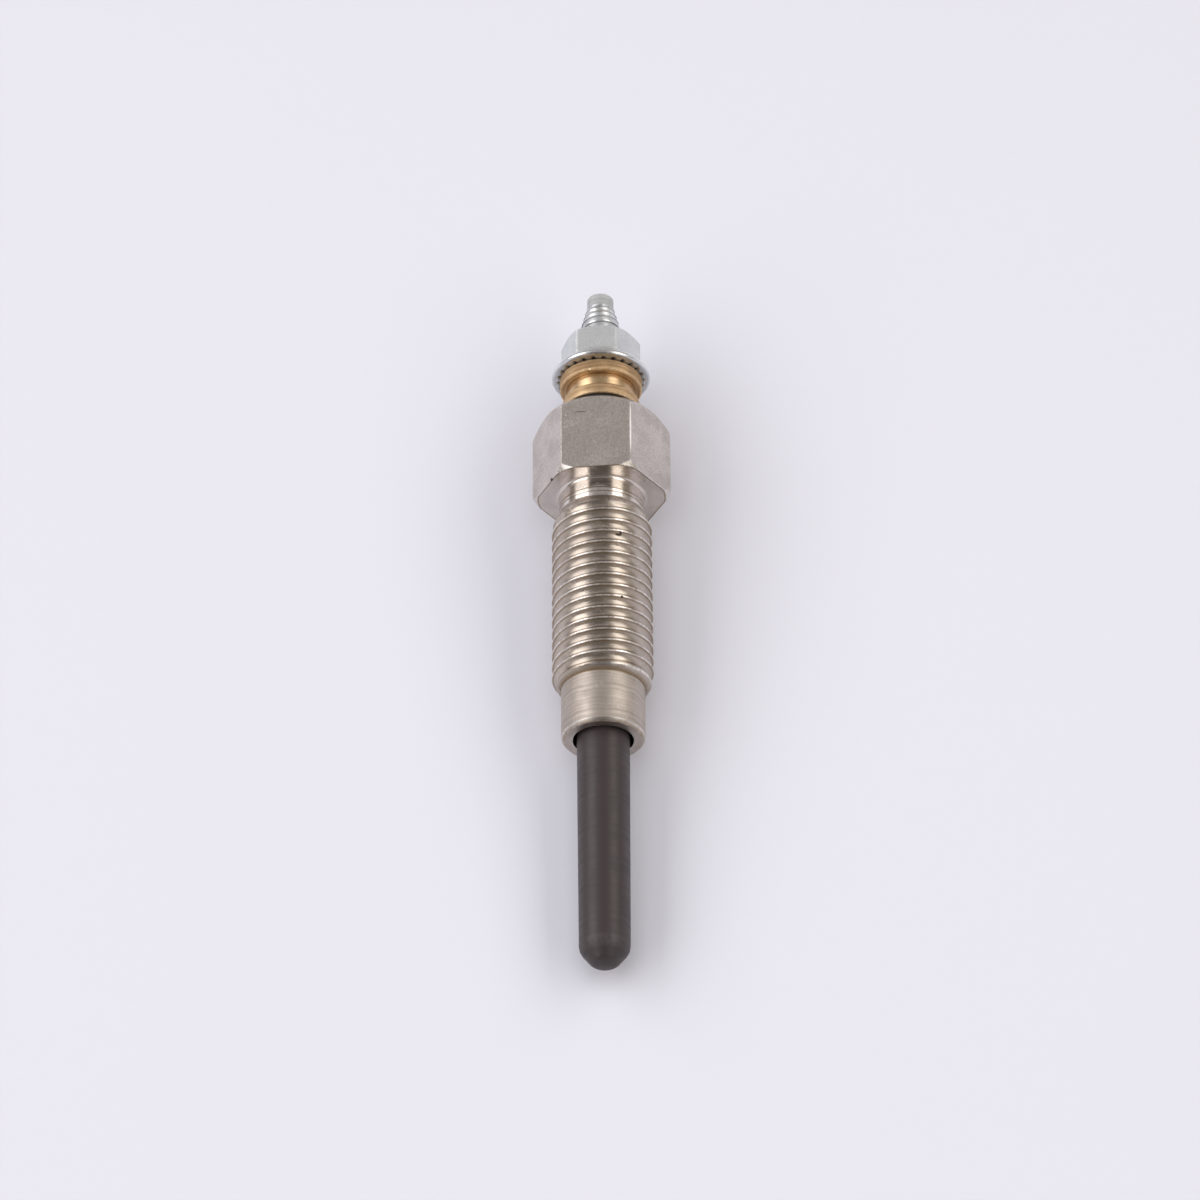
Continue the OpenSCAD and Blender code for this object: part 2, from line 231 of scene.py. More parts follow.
def soften(spots: Sequence[Spot], edge: float) -> list[Spot]:
    """Rounds each inner corner of a half section, and marks edges as worn and hollows as grimy.

    Args:
        spots: Corners of the section.
        edge: Length that the rounding takes from each side of a corner.

    Returns:
        The section with five points in place of each inner corner.
    """
    share_of_side = 0.3
    support = 1.5
    blunt = 0.4
    made = [spots[0]]
    for before, at, after in zip(spots, spots[1:], spots[2:]):
        spans = [math.hypot(o.r - at.r, o.z - at.z) for o in (before, after)]
        reach = min(edge, *(share_of_side * span for span in spans))
        turn = corner_turn(before, at, after)
        wear, grime_and_shade = (max(0.0, (1 + blunt) * side - blunt) for side in (-turn, turn))
        start, end = at.toward(before, reach), at.toward(after, reach)
        middle = Spot((start.r + 2 * at.r + end.r) / 4, (start.z + 2 * at.z + end.z) / 4, at.look)
        made.append(at.toward(before, reach * support))
        made.extend(spot.touched(wear, grime_and_shade) for spot in (start, middle, end))
        made.append(at.toward(after, reach * support))
    made.append(spots[-1])
    return made


def arc(r: float, z: float, radius: float, start_deg: float, end_deg: float, steps: int) -> list[Spot]:
    """Points on an arc of a half section, from one angle to another, both included."""
    turns = [math.radians(start_deg + (end_deg - start_deg) * i / steps) for i in range(steps + 1)]
    return [Spot(r + radius * math.cos(t), z + radius * math.sin(t)) for t in turns]


def finished(spots: Sequence[Spot], gloss: float, grime_and_shade: float = 0.0) -> list[Spot]:
    """The same points with one gloss, and with at least that grime."""
    looks = [replace(s.look, gloss=gloss, grime_and_shade=max(s.look.grime_and_shade, grime_and_shade)) for s in spots]
    return [replace(spot, look=look) for spot, look in zip(spots, looks)]


@dataclass(frozen=True)
class Hexagon:
    """A hexagon across its flats, with slightly rounded corners at every sixth of a turn."""

    WEAR_REACH = 1.6
    COLUMN_SHARES = (-1.8, -1, -0.5, 0, 0.5, 1, 1.8)

    flats: float
    corner_round: float

    def off_corner(self, angle: float) -> float:
        """Angle between a direction and the nearest corner."""
        return abs((angle + HEX_HALF_STEP) % HEX_STEP - HEX_HALF_STEP)

    def tangent(self) -> float:
        """Angle from a corner at which its rounding meets the flat."""
        half = self.flats / 2
        return HEX_HALF_STEP - math.atan((1 - self.corner_round / half) * math.tan(HEX_HALF_STEP))

    def radius(self, angle: float) -> float:
        """Distance of the outline from the axis in a direction.

        Args:
            angle: The direction.

        Returns:
            The distance, in millimetres.
        """
        off = self.off_corner(angle)
        half = self.flats / 2
        if off >= self.tangent():
            return half / math.cos(HEX_HALF_STEP - off)
        centre = (half - self.corner_round) / math.cos(HEX_HALF_STEP)
        return centre * math.cos(off) + math.sqrt(self.corner_round**2 - (centre * math.sin(off)) ** 2)

    def wear(self, angle: float) -> float:
        """How much a corner has been rubbed in a direction, from 0 on the flats to 1."""
        return max(0.0, 1 - self.off_corner(angle) / (self.tangent() * self.WEAR_REACH))

    def columns(self) -> list[float]:
        """Directions that the roundings of the corners need."""
        steps = [self.tangent() * share for share in self.COLUMN_SHARES]
        return [corner * HEX_STEP + step for corner in range(6) for step in steps]


def even_columns(count: int) -> list[float]:
    """Directions spread evenly over one turn."""
    return [math.tau * i / count for i in range(count)]


def merged_columns(*groups: Sequence[float]) -> list[float]:
    """All directions of some groups in order over one turn, without near repeats.

    Args:
        groups: Lists of directions.

    Returns:
        The directions, from 0 up.
    """
    near = math.radians(0.15)
    made: list[float] = []
    for angle in sorted(a % math.tau for group in groups for a in group):
        if not made or angle - made[-1] > near:
            made.append(angle)
    return made


@dataclass(frozen=True)
class Thread:
    """A right-handed screw thread between two heights.

    Attributes:
        pitch: Distance between crests.
        crest_r: Radius of the crests.
        root_r: Radius of the roots.
        crest_z: Height of a crest in direction 0.
        top: Height and radius where the thread starts, and the height where it is at full radius.
        foot: The same three values where it ends.
        least_depth: Depth that the grooves keep where the thread runs out.
    """

    ROWS_IN_TURN = (
        0.0, 0.055, 0.085, 0.12, 0.16, 0.24, 0.33, 0.42, 0.5, 0.58, 0.67, 0.76, 0.84, 0.9, 0.945
    )
    # Rows just under each crest get painted shade: a dark line where the crest shades the groove.
    UNDER_CREST_SHADE_ROWS = (0.085, 0.12)
    UNDER_CREST_SHADE = 0.8
    CREST_HALF = 0.055
    CREST_GLOSS = 0.8
    WEAR_FALL = 8.0
    SNAP = 0.03
    FOOT_BULGE = 0.65

    pitch: float
    crest_r: float
    root_r: float
    crest_z: float
    top: tuple[float, float, float]
    foot: tuple[float, float, float]
    least_depth: float = 0.0

    def depth(self, part: float) -> float:
        """Depth of the round groove under the crest, from 0 to 1, at a part of a turn from a crest.

        Args:
            part: The part of a turn.

        Returns:
            The depth, as a share of the full one.
        """
        off = min(part, 1 - part)
        way = max(0.0, off - self.CREST_HALF) / (0.5 - self.CREST_HALF)
        return 1 - (1 - way) ** 2

    def limit(self, z: float) -> float:
        """Greatest radius that the run-outs at both ends leave at a height.

        Args:
            z: The height.

        Returns:
            The radius, in millimetres.
        """
        (top_z, top_r, top_full), (foot_z, foot_r, foot_full) = self.top, self.foot
        from_top = top_r + (self.crest_r - top_r) * (top_z - z) / max(1e-6, top_z - top_full)
        share = max(0.0, z - foot_z) / max(1e-6, foot_full - foot_z)
        from_foot = foot_r + (self.crest_r - foot_r) * share**self.FOOT_BULGE
        return min(from_top, from_foot)

    def rows(self, angle: float, look: Look) -> list[Spot]:
        """Rows of the thread in one direction, from the top down.

        Args:
            angle: Direction, from 0 to a full turn.
            look: Look of the flanks; crests are worn, and the rows just under each crest get painted shade,
                the dark line where each crest shades the groove.

        Returns:
            One point per row; rows beyond an end of the thread all lie on that end.
        """
        top_z, top_r, _ = self.top
        foot_z, foot_r, _ = self.foot
        start_z = self.crest_z + math.ceil((top_z - self.crest_z) / self.pitch) * self.pitch
        turns = math.ceil((start_z - foot_z) / self.pitch) + 1
        made = []
        phases = [(turn, part) for turn in range(turns) for part in self.ROWS_IN_TURN]
        for turn, part in [*phases, (turns, 0.0)]:
            z = start_z + self.pitch * (angle / math.tau - turn - part)
            if z >= top_z - self.SNAP:
                made.append(Spot(top_r, top_z, look))
            elif z <= foot_z + self.SNAP:
                made.append(Spot(foot_r, foot_z, look))
            else:
                depth = self.depth(part)
                limit = self.limit(z)
                cut_r = self.crest_r - (self.crest_r - self.root_r) * depth
                r = min(cut_r, limit - self.least_depth * depth)
                wear = max(0.0, 1 - self.WEAR_FALL * depth)
                gloss = max(look.gloss, self.CREST_GLOSS * wear)
                # Painted shade in the rows that the crest above shades.
                painted_shade = self.UNDER_CREST_SHADE if part in self.UNDER_CREST_SHADE_ROWS and r < limit else 0.0
                made.append(Spot(r, z, Look(wear, gloss, max(look.grime_and_shade, painted_shade))))
        return made


def turned_mesh(
    name: str, axis: PlugAxis, columns: Sequence[float], section: Callable[[float], Section]
) -> bpy.types.Mesh:
    """Makes the closed mesh of a turned piece.

    Args:
        name: Name of the mesh.
        axis: The plug's axis.
        columns: Directions in order over one turn.
        section: Half section in a direction, with as many points in each.

    Returns:
        The mesh, with its traces at every point.
    """
    sections = [section(angle) for angle in columns]
    rows = len(sections[0].spots)
    locals_mm, spots = [], []
    for angle, half in zip(columns, sections):
        for spot in half.spots:
            locals_mm.append(Vector((spot.r * math.cos(angle), spot.r * math.sin(angle), spot.z)))
            spots.append(spot)
    faces = []
    for column in range(len(columns)):
        on_seam = column == len(columns) - 1
        following = 0 if on_seam else column + 1
        for row in range(rows - 1):
            beside = [sections[column].seam_row(r) if on_seam else r for r in (row, row + 1)]
            here = column * rows + row
            faces.append((here, here + 1, following * rows + beside[1], following * rows + beside[0]))
    mesh = bpy.data.meshes.new(name)
    mesh.from_pydata([axis.place(p) for p in locals_mm], [], faces)
    keep_traces(mesh, locals_mm, spots)
    close_seams(mesh)
    return mesh


def keep_traces(mesh: bpy.types.Mesh, locals_mm: Sequence[Vector], spots: Sequence[Spot]) -> None:
    """Stores each point's place on the plug, its wear and gloss, and how much dirt and painted shade darken
    it, in the mesh.

    Args:
        mesh: The mesh.
        locals_mm: Places on the plug, in the order of its points.
        spots: Points of the sections, in the same order.
    """
    place = mesh.attributes.new(Trace.PLACE.value, "FLOAT_VECTOR", "POINT")
    place.data.foreach_set("vector", [x for p in locals_mm for x in p])
    values = {
        Trace.WEAR: [s.look.wear for s in spots],
        Trace.GLOSS: [s.look.gloss for s in spots],
        Trace.GRIME_AND_SHADE: [s.look.grime_and_shade for s in spots],
    }
    for trace, numbers in values.items():
        mesh.attributes.new(trace.value, "FLOAT", "POINT").data.foreach_set("value", numbers)


def close_seams(mesh: bpy.types.Mesh) -> None:
    """Merges points that coincide, and shades the mesh smooth between its sharp edges.

    Args:
        mesh: The mesh, which is changed.
    """
    grid = bmesh.new()
    grid.from_mesh(mesh)
    bmesh.ops.remove_doubles(grid, verts=grid.verts, dist=MERGE_MM * MM)
    bmesh.ops.dissolve_degenerate(grid, edges=grid.edges, dist=MERGE_MM * MM / 4)
    grid.to_mesh(mesh)
    grid.free()
    mesh.polygons.foreach_set("use_smooth", [True] * len(mesh.polygons))
    mesh.set_sharp_from_angle(angle=math.radians(SHARP_EDGE_DEG))
    mesh.update()


class NodeSheet:
    """Adds nodes to one shader tree and joins them."""

    def __init__(self, tree: bpy.types.NodeTree) -> None:
        """Works on a tree."""
        self.tree = tree

    def add(self, kind: str, joins: Mapping[Any, Any] | None = None, **settings: Any) -> bpy.types.Node:
        """Adds a node.

        Args:
            kind: Node type without its ShaderNode prefix.
            joins: Sockets or plain values by input name or number.
            settings: Properties of the node.

        Returns:
            The node.
        """
        node = self.tree.nodes.new("ShaderNode" + kind)
        for key, value in settings.items():
            setattr(node, key, value)
        for key, value in (joins or {}).items():
            self.join(value, node.inputs[key])
        return node

    def join(self, value: Any, socket: Socket) -> None:
        """Links an output to an input, or sets a plain value on it.

        Args:
            value: The output or the plain value.
            socket: The input.
        """
        if isinstance(value, bpy.types.NodeSocket):
            self.tree.links.new(value, socket)
        else:
            socket.default_value = value

    def math(self, operation: str, a: Any, b: Any = 0.0, clamp: bool = False) -> Socket:
        """Output of a Math node."""
        return self.add("Math", {0: a, 1: b}, operation=operation, use_clamp=clamp).outputs[0]

    def plus(self, a: Any, b: Any, clamp: bool = False) -> Socket:
        """Sum of two values."""
        return self.math("ADD", a, b, clamp)

    def times(self, a: Any, b: Any, clamp: bool = False) -> Socket:
        """Product of two values."""
        return self.math("MULTIPLY", a, b, clamp)

    def vector(self, operation: str, a: Any, b: Any = (0.0, 0.0, 0.0)) -> Sockets:
        """Outputs of a Vector Math node."""
        return self.add("VectorMath", {0: a, 1: b}, operation=operation).outputs

    def noise(self, place: Any, scale: Any, detail: float) -> Socket:
        """Strength of a noise in space."""
        return self.add("TexNoise", {"Vector": place, "Scale": scale, "Detail": detail}).outputs[0]

    def bands(self, along: Any, scale: Any, detail: float) -> Socket:
        """Strength of a noise that changes along one value only."""
        joins = {"W": along, "Scale": scale, "Detail": detail}
        return self.add("TexNoise", joins, noise_dimensions="1D").outputs[0]

    def spread(
        self, value: Any, low: float, high: float, to_low: float = 0.0, to_high: float = 1.0
    ) -> Socket:
        """A value mapped smoothly from one range to another."""
        joins = {"Value": value, "From Min": low, "From Max": high, "To Min": to_low, "To Max": to_high}
        return self.add("MapRange", joins, interpolation_type="SMOOTHSTEP").outputs["Result"]

    def swing(self, tone: Any, middle: float, reach: float) -> Socket:
        """A tone from 0 to 1 mapped to the values within reach of a middle one."""
        return self.spread(tone, 0.0, 1.0, middle - reach, middle + reach)

    def mix(self, share: Any, a: Any, b: Any) -> Socket:
        """Output of a colour Mix node."""
        return self.add("Mix", {0: share, 6: a, 7: b}, data_type="RGBA").outputs[2]

    def trace(self, trace: Trace) -> Sockets:
        """Outputs of a trace that the turned meshes keep."""
        return self.add("Attribute", attribute_name=trace.value).outputs


class Effect(Enum):
    """Surface effects that several finishes share, each a node group."""

    TURNING_LINES = "turning_lines"
    DRAWN_GRAIN = "drawn_grain"
    EDGE_WEAR = "edge_wear"
    SCRATCHES = "fine_scratches"
    SPECKS = "specks"
    CLOUDS = "clouds"
    NICK = "nick"


@dataclass(frozen=True)
class Recipe:
    """How a shared effect is made.

    Attributes:
        maker: Adds the nodes to a group and returns its results.
        inputs: Starting values by name, besides the place; a sequence makes a vector input.
        outputs: Names of the results.
    """

    maker: Callable[[NodeSheet, Sockets], Sequence[Socket]]
    inputs: Mapping[str, Any]
    outputs: tuple[str, ...] = ("Mask",)


class EffectShelf:
    """Builds each shared effect once, and places it in materials."""

    ORIGIN = (0.0, 0.0, 0.0)
    NOISE_LOW = 0.32
    NOISE_HIGH = 0.68

    def __init__(self) -> None:
        """Lists the effects, with no group built."""
        relief = ("Height", "Tone")
        self.recipes = {
            Effect.TURNING_LINES: Recipe(self.turning_lines, {"Density": 8.0, "Waver": 0.5}, relief),
            Effect.DRAWN_GRAIN: Recipe(self.drawn_grain, {"Density": 9.0, "Stretch": 0.6}, relief),
            Effect.EDGE_WEAR: Recipe(self.edge_wear, {"Edge": 0.0}),
            Effect.SCRATCHES: Recipe(self.scratches, {"Amount": 1.0}),
            Effect.SPECKS: Recipe(self.specks, {"Density": 1.5, "Share": 0.1, "Size": 0.12}),
            Effect.CLOUDS: Recipe(self.clouds, {"Density": 0.5}, relief),
            Effect.NICK: Recipe(self.nick, {"Centre": self.ORIGIN, "Reach": self.ORIGIN}),
        }

    def use(self, sheet: NodeSheet, effect: Effect, **values: Any) -> Sockets:
        """Places an effect in a material.

        Args:
            sheet: The material's nodes.
            effect: The effect.
            values: Values or sockets of its inputs, by their names in small letters.

        Returns:
            The outputs by name.
        """
        group = bpy.data.node_groups.get(effect.value) or self.build(effect)
        node = sheet.add("Group", node_tree=group)
        for name, value in values.items():
            sheet.join(value, node.inputs[name.title()])
        return node.outputs

    def build(self, effect: Effect) -> bpy.types.NodeTree:
        """Makes the node group of an effect.

        Args:
            effect: The effect.

        Returns:
            The group, with its inputs and outputs named.
        """
        recipe = self.recipes[effect]
        group = bpy.data.node_groups.new(effect.value, "ShaderNodeTree")
        for name, start in {"Place": self.ORIGIN, **recipe.inputs}.items():
            kind = "NodeSocketFloat" if isinstance(start, float) else "NodeSocketVector"
            socket = group.interface.new_socket(name=name, in_out="INPUT", socket_type=kind)
            socket.default_value = start
        for name in recipe.outputs:
            group.interface.new_socket(name=name, in_out="OUTPUT", socket_type="NodeSocketFloat")
        given = group.nodes.new("NodeGroupInput").outputs
        filled = group.nodes.new("NodeGroupOutput").inputs
        for name, result in zip(recipe.outputs, recipe.maker(NodeSheet(group), given)):
            group.links.new(result, filled[name])
        return group

    @staticmethod
    def turning_lines(sheet: NodeSheet, given: Sockets) -> Sequence[Socket]:
        """Lines that a lathe tool leaves round the axis: fine ones as height, broad ones as tone.

        Args:
            sheet: Nodes of the group.
            given: Its inputs.

        Returns:
            Its results, in the order of their names.
        """
        broadness = 0.8
        parts = sheet.add("SeparateXYZ", {0: given["Place"]}).outputs
        across = sheet.add("CombineXYZ", {0: parts[0], 1: parts[1]}).outputs[0]
        radius = sheet.vector("LENGTH", across)["Value"]
        stray = sheet.times(sheet.noise(given["Place"], scale=0.5, detail=1.0), given["Waver"])
        along = sheet.plus(sheet.math("SUBTRACT", radius, parts[2]), stray)
        fine = sheet.bands(along, given["Density"], detail=3.0)
        broad = sheet.bands(along, sheet.times(given["Density"], broadness), detail=2.0)
        return fine, sheet.spread(broad, low=0.3, high=0.7)

    def drawn_grain(self, sheet: NodeSheet, given: Sockets) -> Sequence[Socket]:
        """Grain drawn out along the axis, as on flats that were rolled or drawn to shape.

        Args:
            sheet: Nodes of the group.
            given: Its inputs.

        Returns:
            Its results, in the order of their names.
        """
        scale = sheet.add("CombineXYZ", {0: 1.0, 1: 1.0, 2: given["Stretch"]}).outputs[0]
        drawn = sheet.vector("MULTIPLY", given["Place"], scale)["Vector"]
        noise = sheet.noise(drawn, given["Density"], detail=4.0)
        return noise, sheet.spread(noise, self.NOISE_LOW, self.NOISE_HIGH)

    @staticmethod
    def edge_wear(sheet: NodeSheet, given: Sockets) -> Sequence[Socket]:
        """Mask of edges that were rubbed bright, broken up by noise.

        Args:
            sheet: Nodes of the group.
            given: Its inputs.

        Returns:
            Its results, in the order of their names.
        """
        noise = sheet.noise(given["Place"], scale=2.6, detail=4.0)
        broken = sheet.spread(noise, low=0.35, high=0.6, to_low=0.2)
        return [sheet.times(given["Edge"], broken, clamp=True)]

    @staticmethod
    def scratches(sheet: NodeSheet, given: Sockets) -> Sequence[Socket]:
        """Thin stray scratches in two directions.

        Args:
            sheet: Nodes of the group.
            given: Its inputs.

        Returns:
            Its results, in the order of their names.
        """
        turns = ((0.5, 0.3, 0.9), (-0.4, 0.8, 0.2))
        drawn_out = (9.0, 0.35, 1.4)
        half_width = 0.012
        masks = []
        for turn in turns:
            joins = {"Vector": given["Place"], "Rotation": turn}
            turned = sheet.add("VectorRotate", joins, rotation_type="EULER_XYZ").outputs[0]
            noise = sheet.noise(sheet.vector("MULTIPLY", turned, drawn_out)["Vector"], scale=1.0, detail=0.0)
            line = sheet.math("ABSOLUTE", sheet.math("SUBTRACT", noise, 0.5))
            masks.append(sheet.spread(line, 0.0, half_width, 1.0, 0.0))
        sparse = sheet.spread(sheet.noise(given["Place"], scale=0.6, detail=2.0), low=0.5, high=0.62)
        kept = sheet.times(sheet.math("MAXIMUM", *masks), sparse)
        return [sheet.times(kept, given["Amount"], clamp=True)]

    @staticmethod
    def specks(sheet: NodeSheet, given: Sockets) -> Sequence[Socket]:
        """Small separate specks of dust or bare metal.

        Args:
            sheet: Nodes of the group.
            given: Its inputs.

        Returns:
            Its results, in the order of their names.
        """
        least_size = 0.5
        cells = sheet.add("TexVoronoi", {"Vector": given["Place"], "Scale": given["Density"]}).outputs
        chance = sheet.add("SeparateColor", {0: cells["Color"]}).outputs[0]
        chosen = sheet.math("LESS_THAN", chance, given["Share"])
        size = sheet.times(given["Size"], sheet.plus(chance, least_size))
        return [sheet.times(chosen, sheet.math("LESS_THAN", cells["Distance"], size))]

    def clouds(self, sheet: NodeSheet, given: Sockets) -> Sequence[Socket]:
        """Slow uneven changes over a surface."""
        noise = sheet.noise(given["Place"], given["Density"], detail=5.0)
        return noise, sheet.spread(noise, self.NOISE_LOW, self.NOISE_HIGH)

    @staticmethod
    def nick(sheet: NodeSheet, given: Sockets) -> Sequence[Socket]:
        """One small mark at a place on the plug, with a soft rim.

        Args:
            sheet: Nodes of the group.
            given: Its inputs.

        Returns:
            Its results, in the order of their names.
        """
        full_share = 0.6
        off = sheet.vector("SUBTRACT", given["Place"], given["Centre"])["Vector"]
        share = sheet.vector("LENGTH", sheet.vector("DIVIDE", off, given["Reach"])["Vector"])["Value"]
        return [sheet.spread(share, full_share, 1.0, 1.0, 0.0)]


SHELF = EffectShelf()


def opaque(colour: Colour) -> tuple[float, float, float, float]:
    """A colour with full alpha, as colour sockets take it."""
    return (*colour, 1.0)


def shader_of(name: str) -> tuple[bpy.types.Material, NodeSheet, bpy.types.Node]:
    """A new material with its nodes and its Principled shader.

    Args:
        name: Name of the material.

    Returns:
        The material, its nodes and its shader.
    """
    material = bpy.data.materials.new(name)
    material.use_nodes = True
    return material, NodeSheet(material.node_tree), material.node_tree.nodes["Principled BSDF"]


@dataclass(frozen=True)
class Nick:
    """A mark on a piece: where it is on the plug, how far it reaches each way, and its colour."""

    centre: tuple[float, float, float]
    reach: tuple[float, float, float]
    colour: Colour


@dataclass(frozen=True)
class MetalFinish:
    """A metal with turned, drawn and worn areas.

    Attributes:
        name: Name of the material.
        slot: Slot of the record; not used.
        bright: Colour of clean metal.
        dull: Colour of its duller patches.
        worn: Colour of rubbed edges.
        grime_and_shade_colour: Colour of dirt in hollows, also used as painted shade under crests, under the
            flange and at the nose's edges.
        satin: Roughness of satin areas.
        polished: Roughness where the gloss is 1; a gloss below 0 is rougher than satin.
        line_density: Turning lines in a millimetre.
        line_height: Height of turning lines, in metres.
        grain: How strongly drawn grain shows on satin areas.
        scratches: How strongly stray scratches show.
        speck_share: Share of the speck cells that hold a speck.
        metallic: How much of the surface is bare metal.
        nicks: Single marks.
    """

    CLOUD_DENSITY = 0.45
    FLAT_GLOSS = 0.2
    DULL_SHARE = 0.4
    GRAIN_TONE = 0.5
    STREAK_TONE = 0.18
    GRIME_AND_SHADE_COVER = 0.9
    CLOUD_ROUGH = 0.03
    LINE_ROUGH = 0.04
    GRIME_AND_SHADE_ROUGH = 0.12
    GLOSSY_RELIEF = 0.4
    SCRATCH_DEPTH = 0.5

    name: str
    slot: Slot
    bright: Colour
    dull: Colour
    worn: Colour
    grime_and_shade_colour: Colour
    satin: float
    polished: float
    line_density: float
    line_height: float
    grain: float
    scratches: float
    speck_share: float
    metallic: float = 1.0
    nicks: tuple[Nick, ...] = ()

    def material(self) -> bpy.types.Material:
        """Builds the material.

        Returns:
            The material, ready to be placed on a turned piece.
        """
        material, sheet, shader = shader_of(self.name)
        place = sheet.trace(Trace.PLACE)["Vector"]
        wear, gloss, grime_and_shade = (sheet.trace(kind)["Fac"] for kind in (Trace.WEAR, Trace.GLOSS, Trace.GRIME_AND_SHADE))
        lines = SHELF.use(sheet, Effect.TURNING_LINES, place=place, density=self.line_density)
        grain = SHELF.use(sheet, Effect.DRAWN_GRAIN, place=place)
        clouds = SHELF.use(sheet, Effect.CLOUDS, place=place, density=self.CLOUD_DENSITY)
        rubbed = SHELF.use(sheet, Effect.EDGE_WEAR, place=place, edge=wear)["Mask"]
        scratched = SHELF.use(sheet, Effect.SCRATCHES, place=place, amount=self.scratches)["Mask"]
        speck = SHELF.use(sheet, Effect.SPECKS, place=place, share=self.speck_share)["Mask"]
        flat = sheet.spread(sheet.math("ABSOLUTE", gloss), 0.0, self.FLAT_GLOSS, 1.0, 0.0)
        turned = sheet.math("SUBTRACT", 1.0, flat)
        grain_share = sheet.times(flat, self.grain)
        matt = sheet.math("SUBTRACT", 1.0, gloss, clamp=True)

        dulled = sheet.times(sheet.plus(clouds["Tone"], matt), self.DULL_SHARE)
        grains = sheet.swing(grain["Tone"], 0.0, self.GRAIN_TONE)
        dulled = sheet.plus(dulled, sheet.times(grains, grain_share))
        streaks = sheet.swing(lines["Tone"], 0.0, self.STREAK_TONE)
        dulled = sheet.plus(dulled, sheet.times(sheet.times(turned, matt), streaks), clamp=True)
        colour = sheet.mix(dulled, opaque(self.bright), opaque(self.dull))
        # Dirt in hollows and painted shade both darken the colour here towards one dark colour.
        colour = sheet.mix(sheet.times(grime_and_shade, self.GRIME_AND_SHADE_COVER), colour, opaque(self.grime_and_shade_colour))
        for mask in (rubbed, scratched, speck):
            colour = sheet.mix(mask, colour, opaque(self.worn))
        for nick in self.nicks:
            mark = SHELF.use(sheet, Effect.NICK, place=place, centre=nick.centre, reach=nick.reach)
            colour = sheet.mix(mark["Mask"], colour, opaque(nick.colour))
        sheet.join(colour, shader.inputs["Base Color"])

        rough = sheet.plus(self.satin, sheet.times(gloss, self.polished - self.satin))
        uneven = sheet.swing(clouds["Tone"], 0.0, self.CLOUD_ROUGH)
        lined = sheet.times(turned, sheet.swing(lines["Tone"], 0.0, self.LINE_ROUGH))
        rough = sheet.plus(rough, sheet.plus(uneven, lined))
        rough = sheet.plus(rough, sheet.times(grime_and_shade, self.GRIME_AND_SHADE_ROUGH), clamp=True)
        sheet.join(rough, shader.inputs["Roughness"])
        shader.inputs["Metallic"].default_value = self.metallic

        line_share = sheet.times(turned, sheet.plus(matt, self.GLOSSY_RELIEF))
        relief = sheet.times(lines["Height"], line_share)
        relief = sheet.plus(relief, sheet.times(grain["Height"], grain_share))
        relief = sheet.math("SUBTRACT", relief, sheet.times(scratched, self.SCRATCH_DEPTH))
        bump = sheet.add("Bump", {"Height": relief, "Strength": 1.0, "Distance": self.line_height})
        sheet.join(bump.outputs[0], shader.inputs["Normal"])
        return material


@dataclass(frozen=True)
class PlainFinish:
    """A moulded, packed or drawn material with little sheen.

    Attributes:
        name: Name of the material.
        slot: Slot of the record; not used.
        colour: Main colour.
        other: Colour that it varies to.
        roughness: Mean roughness.
        density: How fine the variation is, in changes per metre.
        relief: Height of the surface's unevenness, in metres.
        metallic: Whether it is bare metal.
    """

    DUST = (0.5, 0.48, 0.46)
    DUST_SHARE = 0.04
    DUST_COVER = 0.35
    ROUGH_SWING = 0.06
    SPECULAR = 0.35
    RELIEF_STRENGTH = 0.6

    name: str
    slot: Slot
    colour: Colour
    other: Colour
    roughness: float
    density: float
    relief: float
    metallic: float = 0.0

    def material(self) -> bpy.types.Material:
        """Builds the material, on the places of the piece's own mesh.

        Returns:
            The material.
        """
        material, sheet, shader = shader_of(self.name)
        place = sheet.add("TexCoord").outputs["Object"]
        clouds = SHELF.use(sheet, Effect.CLOUDS, place=place, density=self.density)
        speck = SHELF.use(sheet, Effect.SPECKS, place=place, density=self.density * 2, share=self.DUST_SHARE)
        colour = sheet.mix(clouds["Tone"], opaque(self.colour), opaque(self.other))
        colour = sheet.mix(sheet.times(speck["Mask"], self.DUST_COVER), colour, opaque(self.DUST))
        sheet.join(colour, shader.inputs["Base Color"])
        rough = sheet.swing(clouds["Tone"], self.roughness, self.ROUGH_SWING)
        sheet.join(rough, shader.inputs["Roughness"])
        shader.inputs["Metallic"].default_value = self.metallic
        shader.inputs["Specular IOR Level"].default_value = self.SPECULAR
        joins = {"Height": clouds["Height"], "Strength": self.RELIEF_STRENGTH, "Distance": self.relief}
        sheet.join(sheet.add("Bump", joins).outputs[0], shader.inputs["Normal"])
        return material


